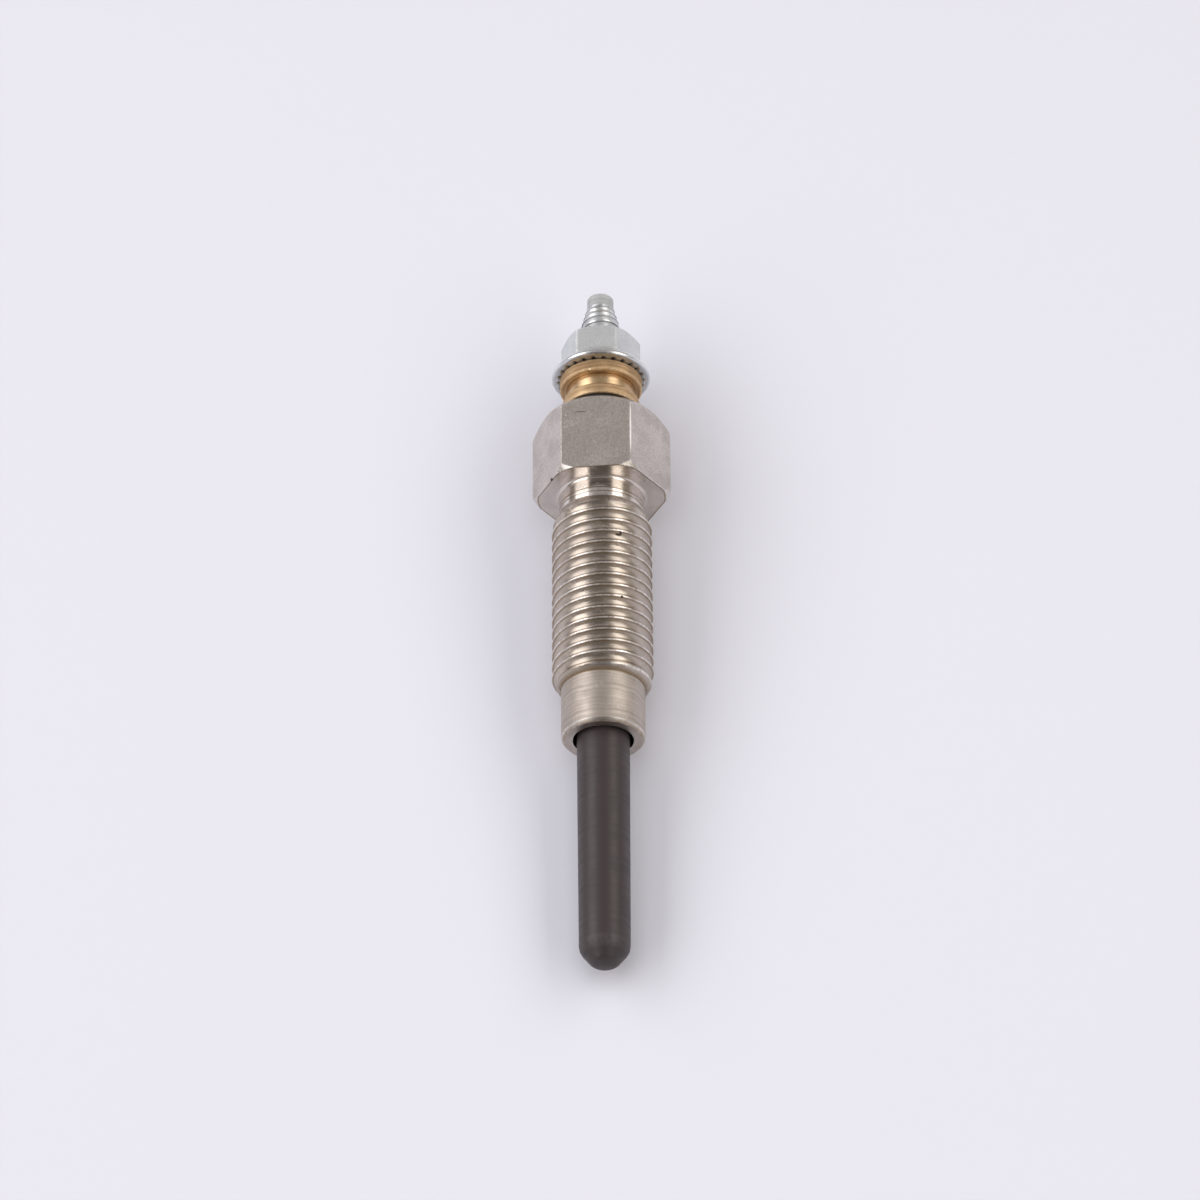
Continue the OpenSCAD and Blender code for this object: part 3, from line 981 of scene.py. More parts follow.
NICKEL = MetalFinish(
    name="satin_nickel", slot=Slot.BODY,
    bright=(0.73, 0.67, 0.62), dull=(0.468, 0.431, 0.408),
    worn=(0.83, 0.805, 0.78), grime_and_shade_colour=(0.22, 0.138, 0.055),
    satin=0.42, polished=0.2, line_density=4.0, line_height=9e-6,
    grain=0.55, scratches=0.7, speck_share=0.02,
    nicks=(
        Nick((-4.62, -3.98, 0.02), (0.28, 0.28, 0.25), (0.03, 0.025, 0.025)),
        Nick((-1.7, -5.95, 6.7), (0.6, 0.3, 0.08), (0.62, 0.59, 0.57)),
        Nick((-1.5, -5.95, 6.5), (0.65, 0.3, 0.08), (0.27, 0.25, 0.24)),
        Nick((-2.93, -5.95, 6.17), (0.1, 0.3, 0.14), (0.86, 0.84, 0.82)),
        Nick((3.43, -5.93, 4.3), (0.11, 0.25, 3.2), (0.97, 0.95, 0.92)),
        Nick((1.95, -4.13, -6.98), (0.34, 0.6, 0.11), (0.08, 0.06, 0.05)),
        Nick((2.2, -4.2, -6.84), (0.13, 0.6, 0.2), (0.08, 0.06, 0.05)),
        Nick((2.3, -4.35, -14.22), (0.16, 0.4, 0.14), (0.06, 0.05, 0.04)),
    ),
)
ZINC = MetalFinish(
    name="bright_zinc", slot=Slot.STUD,
    bright=(0.83, 0.845, 0.86), dull=(0.64, 0.66, 0.675),
    worn=(0.88, 0.89, 0.9), grime_and_shade_colour=(0.1, 0.1, 0.1),
    satin=0.5, polished=0.26, line_density=4.0, line_height=4e-6,
    grain=0.5, scratches=0.6, speck_share=0.04,
)
BRASS = MetalFinish(
    name="turned_brass", slot=Slot.BRASS,
    bright=(0.8, 0.575, 0.34), dull=(0.4, 0.27, 0.158),
    worn=(0.85, 0.68, 0.45), grime_and_shade_colour=(0.22, 0.13, 0.06),
    satin=0.5, polished=0.22, line_density=4.0, line_height=6e-6,
    grain=0.3, scratches=0.8, speck_share=0.03,
    nicks=(
        Nick((-0.72, -4.04, 12.87), (0.17, 0.3, 0.12), (0.95, 0.84, 0.62)),
        Nick((-0.86, -3.72, 12.68), (0.07, 0.4, 0.22), (0.12, 0.07, 0.03)),
    ),
)
SCALED_TUBE = MetalFinish(
    name="scaled_tube", slot=Slot.TUBE,
    bright=(0.039, 0.027, 0.027), dull=(0.029, 0.022, 0.023),
    worn=(0.065, 0.056, 0.055), grime_and_shade_colour=(0.025, 0.022, 0.021),
    satin=0.5, polished=0.42, line_density=3.0, line_height=2e-6,
    grain=0.3, scratches=0.1, speck_share=0.02, metallic=0.0,
)
MOULDED_BLACK = PlainFinish(
    "moulded_black", Slot.INSULATOR, colour=(0.01, 0.009, 0.009), other=(0.016, 0.014, 0.014),
    roughness=0.55, density=900.0, relief=2e-6,
)
RUBBER = PlainFinish(
    "black_rubber", Slot.RUBBER, colour=(0.018, 0.018, 0.018), other=(0.03, 0.029, 0.028),
    roughness=0.65, density=1200.0, relief=6e-6,
)
POWDER = PlainFinish(
    "packed_magnesia", Slot.POWDER, colour=(0.86, 0.85, 0.8), other=(0.76, 0.74, 0.69),
    roughness=0.9, density=2500.0, relief=2e-5,
)
WIRE = PlainFinish(
    "resistance_wire", Slot.WIRE, colour=(0.42, 0.39, 0.35), other=(0.3, 0.27, 0.24),
    roughness=0.35, density=1500.0, relief=4e-6, metallic=1.0,
)


class TurnedPiece(ABC):
    """A piece of the plug that is built round its axis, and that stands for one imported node."""

    node: str
    finish: MetalFinish
    column_count: int

    def columns(self) -> list[float]:
        """Directions of the columns of its mesh, spread evenly."""
        return even_columns(self.column_count)

    @abstractmethod
    def section(self, angle: float) -> Section:
        """Half section in a direction."""

    def build(self, axis: PlugAxis) -> bpy.types.Object:
        """Makes the piece, sets it on the body and hides the node that it stands for.

        Args:
            axis: The plug's axis.

        Returns:
            The piece, with no finish yet.
        """
        mesh = turned_mesh(self.node + "_form", axis, self.columns(), self.section)
        piece = bpy.data.objects.new(self.node + "_piece", mesh)
        bpy.context.scene.collection.objects.link(piece)
        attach(piece, BODY)
        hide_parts(self.node)
        return piece

    def dress(self, piece: bpy.types.Object) -> None:
        """Puts the finish on the piece."""
        piece.data.materials.append(self.finish.material())


@dataclass
class BodyShell(TurnedPiece):
    """Steel body: hexagon, neck, engine thread, nose and the stepped bore through them."""

    CORNER_GLOSS = -0.9
    CHAMFER_SHARES = (0.25, 0.75)
    CHAMFER = Look(wear=0.7, gloss=1.0)
    FOOT_EDGE = Look(gloss=1.0, grime_and_shade=0.85)
    FOOT_LINE = Look(gloss=1.0, grime_and_shade=0.7)
    FOOT_FACE = Look(gloss=1.2, grime_and_shade=0.1)
    FILLET_GLOSS = 1.0
    NECK = Look(wear=0.6, gloss=1.1)
    TOOL_MARK = Look(gloss=1.1, grime_and_shade=0.7)
    NECK_FOOT = Look(gloss=1.1, grime_and_shade=0.8)
    THREAD = Look(gloss=0.75, grime_and_shade=0.4)
    # NOSE_TOP paints a dark line of shade into the corner where the shoulder meets the nose.
    NOSE_TOP = Look(gloss=-0.25, grime_and_shade=0.9)
    NOSE = Look(gloss=-0.25, grime_and_shade=0.27)
    NOSE_EDGE = Look(wear=0.4, gloss=0.5)
    # END_LINE darkens the nose's end chamfer towards the end face: a painted dark reflection of the chamfer.
    END_LINE = Look(gloss=0.5, grime_and_shade=0.85)
    END_FACE = Look(gloss=0.5, grime_and_shade=0.3)

    node: str = "body_shell"
    finish: MetalFinish = NICKEL
    column_count: int = 144
    hex_flats: float = 11.9
    hex_h: float = 8.45
    hex_corner_round: float = 0.16
    top_face_r: float = 5.75
    top_chamfer: float = 1.0
    foot_face_r: float = 6.325
    foot_chamfer: float = 1.0
    least_chamfer: float = 0.05
    flat_support: float = 0.3
    foot_line: float = 0.1
    foot_line_soft: float = 0.18
    neck_r: float = 4.225
    neck_fillet: float = 0.3
    neck_end: float = -2.3
    neck_support: float = 0.25
    tool_marks: tuple[float, ...] = (-1.3, -1.75)
    tool_mark_half: float = 0.04
    tool_mark_soft: float = 0.1
    thread_top: float = -3.7
    thread_r: float = 4.925
    thread_root_r: float = 4.4
    thread_pitch: float = 1.25
    thread_crest_z: float = -3.9475
    thread_end: float = -20.9
    shoulder_end: float = -22.05
    shoulder_plain: float = 0.3
    nose_r: float = 4.05
    nose_end: float = -27.7
    # Length of the painted shade line under the shoulder, and of its soft edge.
    nose_line: float = 0.08
    nose_line_soft: float = 0.2
    nose_chamfer: float = 0.3
    nose_support: float = 0.05
    # Width of the painted dark edge band on the end face.
    end_line: float = 0.12
    nose_bore_r: float = 2.925
    nose_bore_end: float = -22.9
    tube_seat_r: float = 2.57
    tube_stop: float = -5.5
    upper_bore_r: float = 2.3
    counterbore_r: float = 3.15
    counterbore_foot: float = 4.25
    counterbore_chamfer: float = 0.2
    edge: float = 0.07

    def hexagon(self) -> Hexagon:
        """The wrench hexagon."""
        return Hexagon(self.hex_flats, self.hex_corner_round)

    def thread_middle(self) -> float:
        """Height of the middle of the full thread."""
        return (self.thread_top + self.thread_end) / 2

    def columns(self) -> list[float]:
        """Even columns, and those of the rounded corners."""
        return merged_columns(self.hexagon().columns(), super().columns())

    def thread(self) -> Thread:
        """The thread that screws into the engine.

        Returns:
            The thread, on the plug's axis.
        """
        share = self.shoulder_plain / (self.thread_end - self.shoulder_end)
        foot_r = self.nose_r + (self.thread_r - self.nose_r) * share**Thread.FOOT_BULGE
        return Thread(
            self.thread_pitch, self.thread_r, self.thread_root_r, self.thread_crest_z,
            (self.neck_end, self.neck_r, self.thread_top),
            (self.shoulder_end + self.shoulder_plain, foot_r, self.thread_end),
        )

    def hexagon_rows(self, angle: float) -> list[Spot]:
        """Top face, flats, both chamfers, foot face and neck in a direction.

        Args:
            angle: The direction.

        Returns:
            Points from the foot of the counterbore to the thread.
        """
        r = self.hexagon().radius(angle)
        flat = Look(gloss=self.CORNER_GLOSS * self.hexagon().wear(angle))
        top_drop = max(0.0, r - self.top_face_r) * self.top_chamfer
        foot_rise = max(self.least_chamfer, (r - self.foot_face_r) * self.foot_chamfer)
        foot_r = min(r - self.least_chamfer, self.foot_face_r)
        centre_r, centre_z = self.neck_r + self.neck_fillet, -self.neck_fillet
        fillet = arc(centre_r, centre_z, self.neck_fillet, start_deg=90, end_deg=180, steps=6)
        half, soft = self.tool_mark_half, self.tool_mark_soft
        across = ((soft, self.NECK), (half, self.TOOL_MARK), (-half, self.TOOL_MARK), (-soft, self.NECK))
        corners = [
            Spot(self.counterbore_r, self.counterbore_foot, HIDDEN),
            Spot(self.counterbore_r, self.hex_h - self.counterbore_chamfer),
            Spot(self.counterbore_r + self.counterbore_chamfer, self.hex_h),
            Spot(min(r, self.top_face_r), self.hex_h),
            Spot(r, self.hex_h - top_drop, flat),
            Spot(r, foot_rise + self.flat_support, flat),
            Spot(r, foot_rise, flat),
            *(Spot(r + (foot_r - r) * t, foot_rise * (1 - t), self.CHAMFER) for t in self.CHAMFER_SHARES),
            Spot(foot_r, 0.0, self.FOOT_EDGE),
            Spot(foot_r - self.foot_line, 0.0, self.FOOT_LINE),
            Spot(foot_r - self.foot_line_soft, 0.0, self.FOOT_FACE),
            *finished(fillet, self.FILLET_GLOSS),
            *(Spot(self.neck_r, mark + off, look) for mark in self.tool_marks for off, look in across),
            Spot(self.neck_r, self.neck_end + self.neck_support, self.NECK),
            Spot(self.neck_r, self.neck_end, self.NECK_FOOT),
        ]
        return soften(corners, self.edge)

    def nose_rows(self) -> list[Spot]:
        """Nose, its end face, and the bore back up to the counterbore.

        Returns:
            Points from the shoulder to the foot of the counterbore.
        """
        nose_foot = self.nose_end + self.nose_chamfer
        end_r = self.nose_r - self.nose_chamfer
        bore = (
            (self.nose_bore_r, self.nose_bore_end),
            (self.tube_seat_r, self.nose_bore_end),
            (self.tube_seat_r, self.tube_stop),
            (self.upper_bore_r, self.tube_stop),
            (self.upper_bore_r, self.counterbore_foot),
            (self.counterbore_r, self.counterbore_foot),
        )
        corners = [
            Spot(self.nose_r, self.shoulder_end, self.NOSE_TOP),
            Spot(self.nose_r, self.shoulder_end - self.nose_line, self.NOSE_TOP),
            Spot(self.nose_r, self.shoulder_end - self.nose_line_soft, self.NOSE),
            Spot(self.nose_r, nose_foot + self.nose_support, self.NOSE),
            Spot(self.nose_r, nose_foot, self.NOSE_EDGE),
            Spot(end_r, self.nose_end, self.END_LINE),
            Spot(end_r - self.end_line, self.nose_end, self.END_FACE),
            Spot(self.nose_bore_r, self.nose_end, self.END_FACE),
            *(Spot(r, z, HIDDEN) for r, z in bore),
        ]
        return soften(corners, self.edge)

    def section(self, angle: float) -> Section:
        """Whole half section of the body in a direction.

        Args:
            angle: The direction.

        Returns:
            The section, with its thread marked.
        """
        half = Section()
        half.add(self.hexagon_rows(angle))
        half.add_thread(self.thread().rows(angle, self.THREAD), len(Thread.ROWS_IN_TURN))
        half.add(self.nose_rows())
        return half


@dataclass
class HeaterTube(TurnedPiece):
    """Heat-resistant tube, slightly drawn in towards its closed tip."""

    OUTSIDE = Look(gloss=0.5)
    CAP_GLOSS = 0.2

    node: str = "heater_tube"
    finish: MetalFinish = SCALED_TUBE
    column_count: int = 128
    held_r: float = 2.55
    tip_r: float = 2.43
    wall: float = 0.6
    top: float = -6.0
    nose_end: float = -27.7
    dome: float = -50.45
    cap_joint_r: float = 1.45
    cap_r: float = 2.2
    tip: float = -52.25
    hollow_dome: float = -50.244
    hollow_end: float = -51.498
    hollow_end_r: float = 0.85
    edge: float = 0.5

    def section(self, angle: float) -> Section:
        """Half section, from the hollow's end over the mouth to the tip.

        Args:
            angle: The direction, which changes nothing on a round piece.

        Returns:
            The section.
        """
        joint_deg = math.degrees(math.asin(self.cap_joint_r / self.cap_r))
        cap = arc(0.0, self.tip + self.cap_r, self.cap_r, joint_deg - 90, end_deg=-90, steps=8)
        corners = [
            Spot(0.0, self.hollow_end),
            Spot(self.hollow_end_r, self.hollow_end),
            Spot(self.tip_r - self.wall, self.hollow_dome),
            Spot(self.held_r - self.wall, self.nose_end),
            Spot(self.held_r - self.wall, self.top),
            Spot(self.held_r, self.top),
            Spot(self.held_r, self.nose_end, self.OUTSIDE),
            Spot(self.tip_r, self.dome, self.OUTSIDE),
            *finished(cap, self.CAP_GLOSS),
        ]
        return Section(soften(corners, self.edge))


@dataclass
class CentreElectrode(TurnedPiece):
    """Terminal stud with its pilot and thread, and the rod that carries the current to the coil."""

    PILOT_GLOSS = -1.2
    PILOT_GRIME = 0.18
    THREAD = Look(gloss=0.25)

    node: str = "centre_electrode"
    finish: MetalFinish = ZINC
    column_count: int = 96
    pilot_r: float = 1.33
    pilot_chamfer: float = 0.2
    pilot_end: float = 24.1
    pilot_foot: float = 22.65
    cone_r: float = 1.4
    cone_foot: float = 20.6
    stud_r: float = 1.95
    root_r: float = 1.52
    groove_depth: float = 0.22
    pitch: float = 0.7
    crest_z: float = 21.77
    thread_end: float = 10.4
    thread_end_len: float = 0.4
    stud_foot: float = 4.25
    rod_r: float = 1.5
    rod_top: float = 3.35
    rod_end: float = -22.0
    spigot_r: float = 1.0
    spigot_end: float = -24.6
    edge: float = 0.08

    def thread(self) -> Thread:
        """The stud's thread, with a conical start.

        Returns:
            The thread, on the plug's axis.
        """
        return Thread(
            self.pitch, self.stud_r, self.root_r, self.crest_z,
            (self.pilot_foot, self.cone_r, self.cone_foot),
            (self.thread_end - self.thread_end_len, self.root_r, self.thread_end),
            self.groove_depth,
        )

    def section(self, angle: float) -> Section:
        """Half section, from the end of the pilot to the end of the spigot.

        Args:
            angle: The direction.

        Returns:
            The section, with its thread marked.
        """
        half = Section()
        pilot = [
            Spot(0.0, self.pilot_end),
            Spot(self.pilot_r - self.pilot_chamfer, self.pilot_end),
            Spot(self.pilot_r, self.pilot_end - self.pilot_chamfer),
            Spot(self.pilot_r, self.pilot_foot),
            Spot(self.cone_r, self.pilot_foot),
        ]
        half.add(finished(soften(pilot, self.edge), self.PILOT_GLOSS, self.PILOT_GRIME))
        half.add_thread(self.thread().rows(angle, self.THREAD), len(Thread.ROWS_IN_TURN))
        lower = [
            Spot(self.root_r, self.thread_end - self.thread_end_len),
            Spot(self.stud_r, self.thread_end - 2 * self.thread_end_len),
            Spot(self.stud_r, self.stud_foot),
            Spot(self.rod_r, self.rod_top),
            Spot(self.rod_r, self.rod_end),
            Spot(self.spigot_r, self.rod_end),
            Spot(self.spigot_r, self.spigot_end),
            Spot(0.0, self.spigot_end),
        ]
        half.add(soften(lower, self.edge))
        return half


@dataclass
class RoundNut(TurnedPiece):
    """Brass nut that clamps the insulator, with a polished groove between rim and foot."""

    RIM_GLOSS = -0.8
    UNDER_RIM = Look(gloss=0.5)
    GROOVE = Look(gloss=0.8)
    FILLET_GLOSS = 0.7
    FOOT_GLOSS = -0.3

    node: str = "round_nut"
    finish: MetalFinish = BRASS
    column_count: int = 144
    bore_r: float = 2.0
    foot_z: float = 10.2
    groove_z: float = 11.25
    rim_z: float = 12.8
    top: float = 14.08
    rim_r: float = 4.1
    groove_r: float = 3.4
    foot_r: float = 3.85
    groove_support: float = 0.2
    fillet: float = 0.42
    broken: float = 0.12
    edge: float = 0.05

    def disc(self, r: float, low: float, high: float) -> list[Spot]:
        """Outer corners of a disc with broken edges, from the top down.

        Args:
            r: Its radius.
            low: Height of its lower face.
            high: Height of its upper face.

        Returns:
            Its four corners.
        """
        return [
            Spot(r - self.broken, high),
            Spot(r, high - self.broken),
            Spot(r, low + self.broken),
            Spot(r - self.broken, low),
        ]

    def section(self, angle: float) -> Section:
        """Half section, once round from the top of the bore.

        Args:
            angle: The direction, which changes nothing on a round piece.

        Returns:
            The section.
        """
        centre_r, centre_z = self.groove_r + self.fillet, self.groove_z + self.fillet
        fillet = arc(centre_r, centre_z, self.fillet, start_deg=180, end_deg=270, steps=8)
        corners = [
            Spot(self.bore_r, self.top),
            *finished(self.disc(self.rim_r, self.rim_z, self.top), self.RIM_GLOSS),
            Spot(self.groove_r + self.groove_support, self.rim_z, self.UNDER_RIM),
            Spot(self.groove_r, self.rim_z, self.GROOVE),
            *finished(fillet, self.FILLET_GLOSS),
            *finished(self.disc(self.foot_r, self.foot_z, self.groove_z)[1:], self.FOOT_GLOSS),
            Spot(self.bore_r, self.foot_z, HIDDEN),
            Spot(self.bore_r, self.top, HIDDEN),
        ]
        return Section(soften(corners, self.edge))


@dataclass
class TerminalNut(TurnedPiece):
    """Zinc-plated nut with a sloping flange and teeth under its rim."""

    CORNER_GLOSS = -0.7
    RIM_GLOSS = 1.0
    # The flange's lower arc and the teeth under it get painted shade, where they face down towards the seat.
    RIM_SHADE = 0.8
    RIM_SHADE_BELOW = 0.5
    TOOTH_GLOSS = 0.6
    TOOTH_SHADE = 0.5
    GAP_SHADE = 0.45
    EDGE_SHARE = 0.3
    FILLET_SHARE = 0.9
    FILLET_STEPS = 6

    node: str = "terminal_nut"
    finish: MetalFinish = ZINC
    seat: float = 14.08
    flats: float = 7.0
    corner_round: float = 0.35
    height: float = 4.7
    bore_r: float = 2.0
    bore_chamfer: float = 0.18
    face_r: float = 3.15
    chamfer: float = 0.72654
    flange_r: float = 4.925
    flange_wide_z: float = 0.25
    flange_slope_r: float = 4.4
    flange_slope_z: float = 0.85
    flange_slope: float = 0.5
    flange_fillet: float = 0.7
    flange_foot_r: float = 4.38
    flange_foot_z: float = 0.03
    teeth: int = 26
    tooth_depth: float = 0.2
    tooth_edge: float = 0.08
    tooth_columns: int = 8
    tooth_ring_r: float = 2.8
    turn: float = math.radians(57.5)
    edge: float = 0.06

    def hexagon(self) -> Hexagon:
        """The hexagon of the nut, before it is turned."""
        return Hexagon(self.flats, self.corner_round)

    def columns(self) -> list[float]:
        """Columns of the corners and of the teeth, turned with the nut."""
        both = merged_columns(self.hexagon().columns(), even_columns(self.teeth * self.tooth_columns))
        return sorted((angle + self.turn) % math.tau for angle in both)

    def tooth_gap(self, angle: float) -> float:
        """Height of the gap between two teeth over the seat.

        Args:
            angle: The direction, on the nut itself.

        Returns:
            The height, in millimetres.
        """
        pitch = math.tau / self.teeth
        off = abs((angle + pitch / 2) % pitch - pitch / 2)
        return self.tooth_depth * max(0.0, 1 - off / (pitch / 4))

    def rim_rows(self) -> list[Spot]:
        """Full edge of the flange, round both above and below its widest place, with painted shade on the
        lower arc, which faces down towards the seat.

        Returns:
            Points from the slope to the foot of the flange.
        """
        upper = (self.flange_slope_r, self.flange_slope_z - self.flange_wide_z, 80, 0, 6)
        lower = (self.flange_foot_r, self.flange_wide_z - self.flange_foot_z, -15, -80, 5)
        made = []
        for r, height, start_deg, end_deg, steps in (upper, lower):
            for spot in arc(0.0, 0.0, 1.0, start_deg, end_deg, steps):
                # Painted shade on the part of the lower arc that faces down.
                painted_shade = self.RIM_SHADE * max(0.0, -spot.z - self.RIM_SHADE_BELOW)
                rim_r = r + (self.flange_r - r) * spot.r
                made.append(Spot(rim_r, self.flange_wide_z + height * spot.z, Look(grime_and_shade=painted_shade)))
        return made

    def fillet_rows(self, r: float, z: float) -> list[Spot]:
        """Hollow curve from a flat of the hexagon to the flange's slope, whose corner is at r and z.

        Args:
            r: Radius of that corner.
            z: Its height.

        Returns:
            Points from the flat to the slope.
        """
        reach = min(self.flange_fillet, self.FILLET_SHARE * (self.flange_slope_r - r))
        guides = ((r, z + reach), (r, z), (r + reach, z - reach * self.flange_slope))
        made = []
        for step in range(self.FILLET_STEPS + 1):
            t = step / self.FILLET_STEPS
            shares = ((1 - t) ** 2, 2 * t * (1 - t), t**2)
            made.append(Spot(*(sum(k * p[i] for k, p in zip(shares, guides)) for i in (0, 1))))
        return made

    def section(self, angle: float) -> Section:
        """Half section, once round from the top of the bore.

        Args:
            angle: The direction.

        Returns:
            The section, at its height on the plug.
        """
        own = angle - self.turn
        r = self.hexagon().radius(own)
        corner_gloss = self.CORNER_GLOSS * self.hexagon().wear(own)
        face_drop = max(0.0, r - self.face_r) * self.chamfer
        slope_z = self.flange_slope_z + (self.flange_slope_r - r) * self.flange_slope
        gap = self.tooth_gap(own)
        edge_z = max(self.flange_foot_z / 2, self.EDGE_SHARE * gap)
        # Painted shade on the teeth under the flange, darkest in the gaps between them.
        painted_shade = self.TOOTH_SHADE + self.GAP_SHADE * gap / self.tooth_depth
        edge = Look(gloss=self.TOOTH_GLOSS, grime_and_shade=self.EDGE_SHARE * painted_shade)
        corners = [
            Spot(self.bore_r, self.height - self.bore_chamfer),
            Spot(self.bore_r + self.bore_chamfer, self.height),
            Spot(min(r, self.face_r), self.height),
            Spot(r, self.height - face_drop, Look(gloss=corner_gloss)),
            *finished(self.fillet_rows(r, slope_z), corner_gloss),
            *finished(self.rim_rows(), self.RIM_GLOSS),
            Spot(self.flange_foot_r, edge_z, edge),
            Spot(self.flange_foot_r - self.tooth_edge, gap, replace(edge, grime_and_shade=painted_shade)),
            Spot(self.tooth_ring_r, gap, HIDDEN),
            Spot(self.tooth_ring_r, 0.0, HIDDEN),
            Spot(self.bore_r, 0.0, HIDDEN),
            Spot(self.bore_r, self.height - self.bore_chamfer),
        ]
        return Section(soften([replace(s, z=s.z + self.seat) for s in corners], self.edge))


@dataclass
class KeptSolid:
    """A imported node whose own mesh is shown, with a finish of its own."""

    node: str
    finish: PlainFinish

    def dress(self, nodes: Mapping[str, bpy.types.Object]) -> bpy.types.Object:
        """Puts the finish on the node.

        Args:
            nodes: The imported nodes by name.

        Returns:
            The node's object.
        """
        solid = nodes[self.node]
        solid.data.materials.clear()
        solid.data.materials.append(self.finish.material())
        return solid


@dataclass(frozen=True)
class Softbox:
    """A long studio light that runs along the plug's axis.

    Attributes:
        name: Name of the light.
        lean_deg: Angle from the upright about the plug's axis, to the right.
        width_deg: Angle that it fills across the axis.
        ends: Its two ends along the axis, as shares of its distance, the stud's side positive.
        radiance: Brightness of its face.
        tint: Colour of its light.
        mirrored: Whether polished surfaces show it.
    """

    name: str
    lean_deg: float
    width_deg: float
    ends: tuple[float, float]
    radiance: float
    tint: Colour
    mirrored: bool = True


